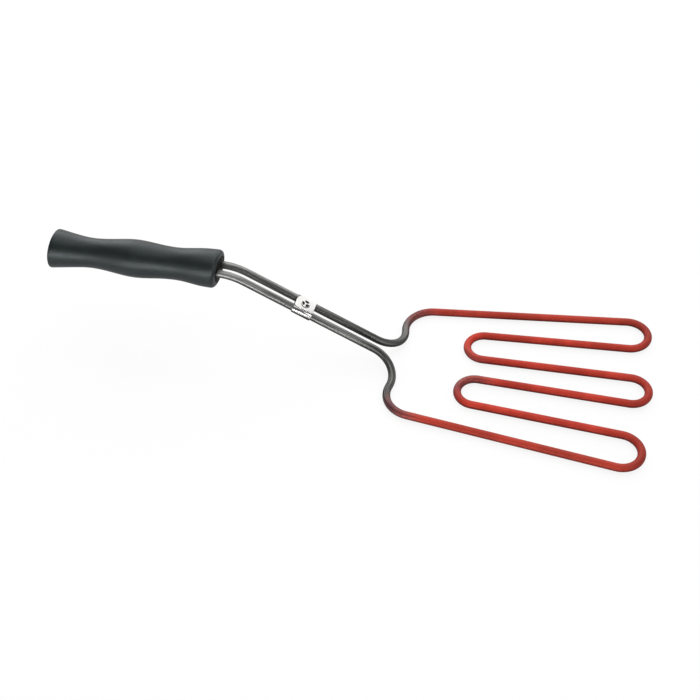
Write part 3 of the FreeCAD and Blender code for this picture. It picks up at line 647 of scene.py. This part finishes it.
grip = {
    "stations": (0.0, 0.1, 0.22, 0.36, 0.5, 0.64, 0.78, 0.9, 1.0),
    "radii": (16.2, 15.75, 13.8, 14.4, 16.0, 14.1, 12.8, 14.7, 16.88),   # mm, from the front
    "sides": 96,
    "rings": 72,
    "frontRounding": 0.0036,
    "rearRounding": 0.0008,
    "openingRadius": 0.0114,
    "lipDepth": 0.0016,
    "wall": 0.0022,
    "partingRound": 0.00014,
    "partingFlat": 0.00002,   # an edge this near the parting plane lies on it, and an edge this
    "partingDepth": 0.0006,   # near the outside is an outer one
    "screwSpots": (0.019, 0.072),     # from the front
    "rearScrewFromEnd": 0.044,
    "wellRadius": 0.0024,
    "wellFloor": 0.0075,      # below the axis
    "wellLength": 0.012,
    "rake": 0.17,             # how far the ends lean forward for each metre of height
    "rakeReach": 0.026,
}
gripLength = frontX - rearX
screwSpots = [*grip["screwSpots"], gripLength - grip["rearScrewFromEnd"]]


def easeIn(value, low, high):
    share = min(max((value - low) / (high - low), 0.0), 1.0)
    return share * share * (3 - 2 * share)


def leanEnds(piece):
    # the two ends aren't square: the top of each leans forward
    size = grip
    for vertex in piece.data.vertices:
        spot = vertex.co
        share = 1 - easeIn(spot.x - rearX, 0.0, size["rakeReach"])
        share += 1 - easeIn(frontX - spot.x, 0.0, size["rakeReach"])
        spot.x += size["rake"] * (spot.z - axisZ) * share


def naturalSpline(xs, ys):
    # second slopes of the smooth curve through the points
    count = len(xs)
    upper, second = [0.0] * count, [0.0] * count
    for i in range(1, count - 1):
        share = (xs[i] - xs[i - 1]) / (xs[i + 1] - xs[i - 1])
        pivot = share * second[i - 1] + 2
        second[i] = (share - 1) / pivot
        jump = ((ys[i + 1] - ys[i]) / (xs[i + 1] - xs[i])
                - (ys[i] - ys[i - 1]) / (xs[i] - xs[i - 1]))
        upper[i] = (6 * jump / (xs[i + 1] - xs[i - 1]) - share * upper[i - 1]) / pivot
    for i in range(count - 2, -1, -1):
        second[i] = second[i] * second[i + 1] + upper[i]
    return second


gripCurve = naturalSpline(grip["stations"], grip["radii"])


def gripRadius(share):
    # the handle's radius in metres at a share of its length from the front
    xs, ys = grip["stations"], grip["radii"]
    i = max(index for index in range(len(xs) - 1) if xs[index] <= share)
    width = xs[i + 1] - xs[i]
    a, b = (xs[i + 1] - share) / width, (share - xs[i]) / width
    bend = ((a ** 3 - a) * gripCurve[i] + (b ** 3 - b) * gripCurve[i + 1]) * width ** 2 / 6
    return (a * ys[i] + b * ys[i + 1] + bend) / 1000


def gripOutline():
    # along the handle from its front, with the radius there
    size = grip
    edge, rear = size["frontRounding"], size["rearRounding"]
    outline = [(size["lipDepth"], size["openingRadius"]), (0.0, size["openingRadius"])]
    frontRadius = gripRadius(edge / gripLength)
    outline += arcPoints((edge, frontRadius - edge), edge, 180, 90, 8)
    first, last = edge / gripLength, 1 - rear / gripLength
    for count in range(1, size["rings"]):
        share = first + (last - first) * count / size["rings"]
        outline.append((share * gripLength, gripRadius(share)))
    rearRadius = gripRadius(last)
    outline += arcPoints((gripLength - rear, rearRadius - rear), rear, 90, 0, 4)
    outline.append((gripLength, size["openingRadius"]))
    return outline


def makeGripHalf(whole, name, side):
    # one half of the shell, with its wall; softenParting rounds its parting edges afterwards
    pickOnly(whole)
    bpy.ops.object.duplicate()
    half = bpy.context.object
    half.name = name
    half.data.name = name
    editPiece(half)
    bpy.ops.mesh.select_all(action="SELECT")
    bpy.ops.mesh.bisect(plane_co=(0, 0, axisZ), plane_no=(0, 0, side), clear_inner=True,
                        clear_outer=False)
    bpy.ops.object.mode_set(mode="OBJECT")
    useModifier(half, "SOLIDIFY", thickness=grip["wall"], offset=-1.0, use_even_offset=True)
    return half


def isOuterEdge(half, edge):
    # both ends lie on the parting plane, at the outside of the shell
    ends = [half.data.vertices[index].co for index in edge.vertices]
    for end in ends:
        share = min(max((frontX - end.x) / gripLength, 0), 1)
        inner = gripRadius(share) - grip["partingDepth"]
        if abs(end.z - axisZ) > grip["partingFlat"] or abs(end.y) < inner:
            return False
    return True


def softenParting(half):
    editPiece(half, "EDGE")
    choose(half, "edges", lambda spot, edge: isOuterEdge(half, edge))
    bpy.ops.mesh.bevel(offset=grip["partingRound"], segments=2, affect="EDGES")
    bpy.ops.object.mode_set(mode="OBJECT")


def boreWells(half):
    # the wells under the lower shell where the screws go in
    size = grip
    for spot in screwSpots:
        middle = axisZ - size["wellLength"] / 2 - size["wellFloor"]
        bpy.ops.mesh.primitive_cylinder_add(vertices=40, radius=size["wellRadius"],
                                            depth=size["wellLength"],
                                            location=(frontX - spot, 0, middle))
        tool = bpy.context.object
        applyPlace(tool)
        cutAway(half, tool)


def makeGrip():
    whole = turnedPiece("gripWhole", gripOutline(), grip["sides"], (frontX, 0, axisZ), (-1, 0, 0))
    upper = makeGripHalf(whole, "gripUpper", 1)
    softenParting(upper)
    lower = makeGripHalf(whole, "gripLower", -1)
    softenParting(lower)
    boreWells(lower)
    bpy.data.objects.remove(whole)
    for half in (upper, lower):
        leanEnds(half)
        smoothBy(half, 35)
    return upper, lower


frontPlate = {
    "radius": 0.01132,
    "edgeRound": 0.0005,
    "setBack": 0.0003,        # from the handle's front
    "crown": 0.0020,
    "crownRings": 10,
    "sides": 96,
    "legPlay": 0.00012,
    "drillLength": 0.02,
}


def makeFrontPlate():
    # square at its back, crowned and leaning with the handle's front, with a hole for each leg
    size = frontPlate
    flat, rim = size["radius"] - size["edgeRound"], -size["setBack"]
    ball = (flat ** 2 + size["crown"] ** 2) / (2 * size["crown"])
    outline = [(plateLow.x - frontX, size["radius"])]
    outline += arcPoints((rim - size["edgeRound"], flat), size["edgeRound"], 90, 0, 5)
    reach = math.asin(flat / ball)
    for count in range(1, size["crownRings"]):
        angle = reach * (1 - count / size["crownRings"])
        outline.append((rim + size["crown"] - ball * (1 - math.cos(angle)), ball * math.sin(angle)))
    plate = turnedPiece("frontPlate", outline, size["sides"], (frontX, 0, axisZ))
    closeEnds(plate)
    for vertex in plate.data.vertices:
        if vertex.co.x > plateLow.x + size["edgeRound"]:
            vertex.co.x += grip["rake"] * (vertex.co.z - axisZ)
    bore = tubePath["radius"] + size["legPlay"]
    for side in (1, -1):
        bpy.ops.mesh.primitive_cylinder_add(vertices=48, radius=bore, depth=size["drillLength"],
                                            location=(frontX, side * halfSpacing, axisZ),
                                            rotation=(0, math.pi / 2, 0))
        tool = bpy.context.object
        applyPlace(tool)
        cutAway(plate, tool)
    smoothBy(plate, 35)
    return plate


rearCap = {
    "edgeRadius": 0.0167,
    "edgeStep": 0.0002,
    "domeHeight": 0.0010,
    "domeRings": 14,
    "sides": 96,
    "holeRadius": 0.0063,     # where the bush's lip lies, and how deep
    "holeDepth": 0.0009,
    "boreRadius": 0.0048,
    "spigotRadius": 0.0114,
    "spigotDepth": 0.0020,
}


def makeRearCap():
    # a spigot in the shell and a flat dome with a sunk seat for the bush
    size = rearCap
    dome = size["domeHeight"]
    ball = (size["edgeRadius"] ** 2 + dome ** 2) / (2 * dome)
    outline = [(-size["spigotDepth"], size["spigotRadius"]),
               (-size["edgeStep"], size["spigotRadius"]),
               (0.0, size["edgeRadius"] - size["edgeStep"])]
    reach = math.asin(size["edgeRadius"] / ball)
    stop = math.asin(size["holeRadius"] / ball)
    for count in range(size["domeRings"] + 1):
        angle = reach + (stop - reach) * count / size["domeRings"]
        outline.append((ball * math.cos(angle) - ball + dome, ball * math.sin(angle)))
    seat = outline[-1][0] - size["holeDepth"]
    outline += [(seat, size["holeRadius"]), (seat, size["boreRadius"]),
                (-size["spigotDepth"], size["boreRadius"]), outline[0]]
    cap = turnedPiece("rearCap", outline, size["sides"], (rearX, 0, axisZ), (-1, 0, 0))
    leanEnds(cap)
    smoothBy(cap, 30)
    return cap


cordBush = {
    "lipRadius": 0.0062,
    "lipDepth": 0.0012,
    "neckRadius": 0.0047,
    "boreRadius": 0.0034,
    "round": 0.0005,
    "sides": 64,
    "play": 0.00002,          # what the leaning lip keeps clear of the rearmost place
}


def makeCordBush():
    # a rolled lip, a bore and the inner lip, leaning as the cap does
    size = cordBush
    rear = bushLow.x + grip["rake"] * size["lipRadius"] + size["play"]
    depth, lip, soft = bushHigh.x - rear, size["lipDepth"], size["round"]
    outline = [(lip, size["neckRadius"]), (lip, size["lipRadius"])]
    outline += arcPoints((soft, size["lipRadius"] - soft), soft, 90, 180, 5)
    outline += arcPoints((soft, size["boreRadius"] + soft), soft, 180, 270, 5)
    outline += [(depth, size["boreRadius"]), (depth, size["lipRadius"]),
                (depth - lip, size["lipRadius"]), (depth - lip, size["neckRadius"]), outline[0]]
    bush = turnedPiece("cordBush", outline, size["sides"], (rear, 0, axisZ))
    leanEnds(bush)
    smoothBy(bush, 40)
    return bush


clip = {
    "distance": 0.0949,       # from the neck's corner, along the shank
    "length": 0.0168,
    "sheet": 0.0008,
    "play": 0.00005,
    "farOverlap": 0.0026,     # how far the plate reaches past the middle of each leg
    "nearOverlap": 0.0009,
    "farCorner": 0.0068,
    "nearCorner": 0.0022,
    "edgeRound": 0.00016,
    "wrapTurns": (122.0, 161.0),    # of the far side and the near side
    "headRadius": 0.0039,     # of the rivet
    "headHeight": 0.0008,
    "headRound": 0.00035,
    "rivetRadius": 0.002,
    "pockets": 3,
    "pocketInner": 0.0010,    # radii between which a pocket lies
    "pocketOuter": 0.0034,
    "pocketTurn": 84.0,
    "pocketDepth": 0.0007,
    "pocketRound": 0.0001,
    "pocketToolHeight": 0.003,
}


def layOnShank(piece):
    rise = math.radians(tubePath["shankAngle"])
    spot = Vector((tubePath["neckX"] - clip["distance"] * math.cos(rise), 0,
                   tubePath["radius"] + clip["distance"] * math.sin(rise)))
    piece.data.transform(Matrix.Translation(spot) @ Matrix.Rotation(rise, 4, "Y"))
    return piece


def makeClipWrap():
    # a strip under the legs whose two sides are rolled up round them
    size = clip
    middle = tubePath["radius"] + size["play"] + size["sheet"] / 2
    bpy.ops.mesh.primitive_plane_add(size=1, location=(0, 0, -middle))
    wrap = bpy.context.object
    wrap.name = "clipWrap"
    wrap.scale = (size["length"], 2 * halfSpacing, 1)
    applyPlace(wrap)
    for side, turn in zip((1, -1), size["wrapTurns"]):
        editPiece(wrap, "EDGE")
        choose(wrap, "edges", lambda spot, edge: spot.y * side > halfSpacing - closeBy
               and abs(spot.z + middle) < closeBy)
        bpy.ops.mesh.spin(steps=20, angle=-math.radians(turn), axis=(side, 0, 0),
                          center=(0, side * halfSpacing, 0))
        bpy.ops.object.mode_set(mode="OBJECT")
    cleanPiece(wrap)
    useModifier(wrap, "SOLIDIFY", thickness=size["sheet"], offset=0.0)
    useModifier(wrap, "BEVEL", width=size["edgeRound"], segments=2, limit_method="ANGLE",
                angle_limit=math.radians(60))
    smoothBy(wrap, 40)
    return layOnShank(wrap)


def makeClipPlate():
    # a flat sheet over the legs with its two rear corners rounded
    size = clip
    bottom = tubePath["radius"] + size["play"]
    far, near = halfSpacing + size["farOverlap"], halfSpacing + size["nearOverlap"]
    bpy.ops.mesh.primitive_plane_add(size=1, location=(0, (far - near) / 2, bottom))
    plate = bpy.context.object
    plate.name = "clipPlate"
    plate.scale = (size["length"], far + near, 1)
    applyPlace(plate)
    for side, corner in ((1, size["farCorner"]), (-1, size["nearCorner"])):
        editPiece(plate)
        choose(plate, "vertices", lambda spot, vertex: spot.x < -size["length"] / 2 + closeBy
               and spot.y * side > halfSpacing)
        bpy.ops.mesh.bevel(offset=corner, segments=12, affect="VERTICES")
        bpy.ops.object.mode_set(mode="OBJECT")
    useModifier(plate, "SOLIDIFY", thickness=size["sheet"], offset=1.0)
    useModifier(plate, "BEVEL", width=size["edgeRound"], segments=3, limit_method="ANGLE",
                angle_limit=math.radians(50))
    smoothBy(plate, 40)
    return layOnShank(plate)


def pocketTool(turn, top):
    # a kidney: a thin strip of the pocket's width, spun round the rivet's axis and then raised
    size = clip
    thin = 0.00001
    width = size["pocketOuter"] - size["pocketInner"]
    middle = (size["pocketOuter"] + size["pocketInner"]) / 2
    bpy.ops.mesh.primitive_plane_add(size=1)
    tool = bpy.context.object
    tool.scale = (width, thin, 1)
    tool.location = (middle, 0, top - size["pocketDepth"])
    applyPlace(tool)
    editPiece(tool, "EDGE")
    choose(tool, "edges", lambda spot, edge: spot.y > thin / 5)
    bpy.ops.mesh.spin(steps=14, angle=math.radians(size["pocketTurn"]), axis=(0, 0, 1),
                      center=(0, 0, 0))
    bpy.ops.object.mode_set(mode="OBJECT")
    cleanPiece(tool, thin * 3)
    editPiece(tool, "FACE")
    bpy.ops.mesh.select_all(action="SELECT")
    pullRing((0, 0, size["pocketToolHeight"]))
    bpy.ops.mesh.select_all(action="SELECT")
    bpy.ops.mesh.normals_make_consistent(inside=False)
    bpy.ops.object.mode_set(mode="OBJECT")
    tool.data.transform(Matrix.Rotation(math.radians(turn), 4, "Z"))
    return tool


def storeRecess(rivet, top):
    # 1 in the pockets below their rounded rims, where shade is painted
    recess = rivet.data.attributes.new("recess", "FLOAT", "POINT")
    floor, rim = top - clip["pocketDepth"] - 2 * closeBy, top - 1.2 * clip["pocketRound"]
    for vertex in rivet.data.vertices:
        spot = vertex.co
        inside = math.hypot(spot.x, spot.y) < clip["pocketOuter"] + 2 * closeBy
        recess.data[vertex.index].value = 1.0 if inside and floor < spot.z < rim else 0.0


def makeClipRivet():
    # both heads and the shank turned in one, then the pockets struck into the upper head
    size = clip
    plateTop = tubePath["radius"] + size["play"] + size["sheet"]
    top = plateTop + size["headHeight"]
    head, edge, shank = size["headRadius"], size["headRound"], size["rivetRadius"]
    rounding = (0.5, 1.0, math.pi / 2)
    outline = [(-top, head - edge)]
    outline += [(-top + edge - edge * math.cos(a), head - edge + edge * math.sin(a))
                for a in rounding]
    outline += [(-plateTop, head), (-plateTop, shank), (plateTop, shank), (plateTop, head)]
    outline += [(top - edge + edge * math.sin(a), head - edge + edge * math.cos(a))
                for a in (0.0, *rounding)]
    rivet = turnedPiece("clipRivet", outline, 48, (0, 0, 0), (0, 0, 1))
    closeEnds(rivet)
    for count in range(size["pockets"]):
        cutAway(rivet, pocketTool(count * 360 / size["pockets"], top))
    useModifier(rivet, "BEVEL", width=size["pocketRound"], segments=2, limit_method="ANGLE",
                angle_limit=math.radians(60))
    smoothBy(rivet, 40)
    storeRecess(rivet, top)
    return layOnShank(rivet)


gripScrew = {
    "headRadius": 0.0023,
    "headHeight": 0.0018,
    "headCrown": (0.0008, 0.00045, 0.55, 0.93),   # two depths, and two shares of the radius
    "shankRadius": 0.0012,
    "seat": 0.0066,           # the head's seat, below the handle's axis
    "reach": 0.0062,          # how far the tip is above it
    "tipLength": 0.0012,
    "tipRadius": 0.0003,
    "slotLength": 1.35,       # in head radii
    "slotWidth": 0.0007,
    "slotDepth": 0.0009,
}


def makeGripScrews():
    # one cross-slotted screw is turned, and copied to the other wells
    size = gripScrew
    low = -size["seat"] - size["headHeight"]
    edgeDepth, crownDepth, flatShare, crownShare = size["headCrown"]
    outline = [(low, size["headRadius"] * flatShare),
               (low + crownDepth, size["headRadius"] * crownShare),
               (low + edgeDepth, size["headRadius"]),
               (-size["seat"], size["headRadius"]), (-size["seat"], size["shankRadius"]),
               (size["reach"] - size["tipLength"], size["shankRadius"]),
               (size["reach"], size["tipRadius"])]
    first = turnedPiece("gripScrews", outline, 32, (frontX - screwSpots[0], 0, axisZ), (0, 0, 1))
    closeEnds(first)
    for turn in (0, 90):
        bpy.ops.mesh.primitive_cube_add(size=1, location=(frontX - screwSpots[0], 0, axisZ + low))
        tool = bpy.context.object
        tool.scale = (size["headRadius"] * size["slotLength"], size["slotWidth"],
                      size["slotDepth"] * 2)
        tool.rotation_euler = (0, 0, math.radians(turn))
        applyPlace(tool)
        cutAway(first, tool)
    screws = [first]
    for spot in screwSpots[1:]:
        pickOnly(first)
        bpy.ops.object.duplicate()
        copy = bpy.context.object
        copy.data.transform(Matrix.Translation((screwSpots[0] - spot, 0, 0)))
        screws.append(copy)
    pickNothing()
    for screw in screws:
        screw.select_set(True)
    bpy.context.view_layer.objects.active = first
    bpy.ops.object.join()
    smoothBy(first, 35)
    return first


def dress(piece, finish, slotName, *nodes):
    piece.data.materials.clear()
    piece.data.materials.append(finish)
    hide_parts(*nodes)
    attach(piece, "root")


def dressNodes(finishes):
    # every CAD node that stays gets the finish of its own slot
    for entry in frame["record"]["subparts"]:
        node = frame["nodes"][entry["node"]]
        finish = finishes.get(entry["material_slot"])
        if finish:
            node.data.materials.clear()
            node.data.materials.append(finish)


def buildObject():
    finishes = {slotName: makePlainFinish(look) for slotName, look in plainLooks.items()}
    finishes["heater_steel"] = makeTubeFinish()
    finishes["grip_plastic"] = makeGripFinish()
    finishes["clip_nickel"] = makeClipFinish()
    print("finishes made:", len(finishes))
    dressNodes(finishes)
    dress(makeHeaterTube(), finishes["heater_steel"], "heater_steel", "heater_sheath")
    print("tube made")
    upper, lower = makeGrip()
    dress(upper, finishes["grip_plastic"], "grip_plastic", "grip_upper")
    dress(lower, finishes["grip_plastic"], "grip_plastic", "grip_lower")
    print("grip made")
    dress(makeFrontPlate(), finishes["phenolic"], "phenolic", "front_plate")
    dress(makeRearCap(), finishes["cap_plastic"], "cap_plastic", "rear_cap")
    dress(makeCordBush(), finishes["grommet_rubber"], "grommet_rubber", "cord_grommet")
    dress(makeGripScrews(), finishes["zinc_screw"], "zinc_screw", "grip_screws")
    print("plate, cap, bush and screws made")
    dress(makeClipWrap(), finishes["clip_nickel"], "clip_nickel", "clip_wrap")
    dress(makeClipPlate(), finishes["clip_nickel"], "clip_nickel", "clip_plate")
    dress(makeClipRivet(), finishes["clip_nickel"], "clip_nickel", "clip_rivet")
    print("clip made")


studio = {
    "floorSize": 24.0,
    "floorDrop": 0.0004,      # the paper lies this far below the object
    "floorTone": (0.95, 0.95, 0.95),
    "nearGlow": 0.86,         # share of plain white in the floor under the object
    "glowFrom": 0.5,          # metres out from the object, where that share starts to rise to 1
    "glowTo": 1.6,
    "worldTone": (0.97, 0.985, 1.0),
    "worldStrength": 0.28,
    "mirroredStrength": 0.10,     # what reflections show above the horizon
    "mirroredTone": 0.50,     # how light the floor is in reflections, and its share of white there
    "mirroredGlow": 0.25,
    "horizon": (0.14, 0.42),  # heights of a direction between which reflections lose the white
}
lamps = (
    # name, place, aimed at, width and height, power, colour
    ("backLamp", (0.28, 1.00, 0.78), (0.0, 0.0, 0.04), (1.40, 1.40), 10.0, (1.0, 0.995, 0.985)),
    ("topLamp", (-0.05, 0.18, 1.30), (0.0, 0.0, 0.03), (1.20, 1.20), 7.5, (0.985, 0.99, 1.0)),
    ("cornerLamp", (-0.90, 0.95, 0.80), (-0.17, 0.0, 0.077), (0.90, 0.90), 7.0,
     (1.0, 0.995, 0.985)),
    ("sideLamp", (0.95, -0.62, 0.72), (0.08, 0.0, 0.03), (0.50, 0.50), 3.0, (1.0, 0.99, 0.975)),
    ("lowLamp", (-0.22, -0.95, 0.085), (-0.16, 0.0, 0.077), (1.10, 0.16), 5.6, (1.0, 1.0, 1.0)),
)
viewCamera = {
    "place": (0.17599, -0.57660, 0.59505),
    "turn": (45.469, 2.659, 14.000),
    "lens": 50.81,
    "sensorWidth": 36.0,
    "nearClip": 0.01,
}


def makeFloor():
    # paper that the camera sees nearly white, and that keeps the object's shadow
    bpy.ops.mesh.primitive_plane_add(size=studio["floorSize"],
                                     location=(0, 0, -studio["floorDrop"]))
    floor = bpy.context.object
    floor.name = "studioFloor"
    finish, tree, shader = newFinish("studioPaper")
    shader.inputs["Roughness"].default_value = 0.9
    shader.inputs["Specular IOR Level"].default_value = 0.0
    white = addNode(tree, "ShaderNodeEmission", values={"Color": (1, 1, 1, 1), "Strength": 1.0})
    blend = addNode(tree, "ShaderNodeMixShader")
    rays = addNode(tree, "ShaderNodeLightPath")
    table = (studio["mirroredTone"],) * 3
    wire(tree, mixed(tree, rays.outputs["Is Camera Ray"], table, studio["floorTone"]),
         shader.inputs["Base Color"])
    seen = sums(tree, "MAXIMUM", rays.outputs["Is Camera Ray"],
                sums(tree, "MULTIPLY", rays.outputs["Is Glossy Ray"], studio["mirroredGlow"]))
    away = addNode(tree, "ShaderNodeVectorMath", operation="LENGTH")
    wire(tree, objectSpot(tree), away.inputs[0])
    glow = ranged(tree, away.outputs["Value"], studio["glowFrom"], studio["glowTo"],
                  studio["nearGlow"], 1.0)
    wire(tree, sums(tree, "MULTIPLY", seen, glow), blend.inputs[0])
    wire(tree, shader.outputs[0], blend.inputs[1])
    wire(tree, white.outputs[0], blend.inputs[2])
    wire(tree, blend.outputs[0], tree.nodes["Material Output"].inputs["Surface"])
    floor.data.materials.append(finish)


def makeWorld():
    # white to the camera, white near the horizon in reflections, and an even grey as light
    world = bpy.data.worlds.new("studioWorld")
    world.use_nodes = True
    scene.world = world
    tree = world.node_tree
    soft = tree.nodes["Background"]
    soft.inputs["Color"].default_value = (*studio["worldTone"], 1)
    white = addNode(tree, "ShaderNodeBackground", values={"Color": (1, 1, 1, 1), "Strength": 1.0})
    rays = addNode(tree, "ShaderNodeLightPath")
    heading = addNode(tree, "ShaderNodeSeparateXYZ")
    wire(tree, addNode(tree, "ShaderNodeTexCoord").outputs["Generated"], heading.inputs[0])
    low, high = studio["horizon"]
    mirrored = sums(tree, "MULTIPLY", rays.outputs["Is Glossy Ray"],
                    ranged(tree, heading.outputs["Z"], low, high, 1.0, 0.0))
    drop = studio["worldStrength"] - studio["mirroredStrength"]
    wire(tree, sums(tree, "SUBTRACT", studio["worldStrength"],
                    sums(tree, "MULTIPLY", rays.outputs["Is Glossy Ray"], drop)),
         soft.inputs["Strength"])
    blend = addNode(tree, "ShaderNodeMixShader")
    wire(tree, sums(tree, "MAXIMUM", rays.outputs["Is Camera Ray"], mirrored), blend.inputs[0])
    wire(tree, soft.outputs[0], blend.inputs[1])
    wire(tree, white.outputs[0], blend.inputs[2])
    wire(tree, blend.outputs[0], tree.nodes["World Output"].inputs["Surface"])


def makeLamps():
    for name, place, aim, spread, power, colour in lamps:
        bpy.ops.object.light_add(type="AREA", location=place)
        lamp = bpy.context.object
        lamp.name = name
        lamp.data.shape = "RECTANGLE"
        lamp.data.size, lamp.data.size_y = spread
        lamp.data.energy = power
        lamp.data.color = colour
        towards = Vector(aim) - Vector(place)
        lamp.rotation_euler = towards.to_track_quat("-Z", "Y").to_euler()


def makeCamera():
    turn = [math.radians(value) for value in viewCamera["turn"]]
    bpy.ops.object.camera_add(location=viewCamera["place"], rotation=turn)
    camera = bpy.context.object
    camera.data.lens = viewCamera["lens"]
    camera.data.sensor_width = viewCamera["sensorWidth"]
    camera.data.clip_start = viewCamera["nearClip"]
    scene.camera = camera


makeCamera()
makeWorld()
makeLamps()
makeFloor()
scene.view_settings.view_transform = "Standard"
buildObject()
pickNothing()
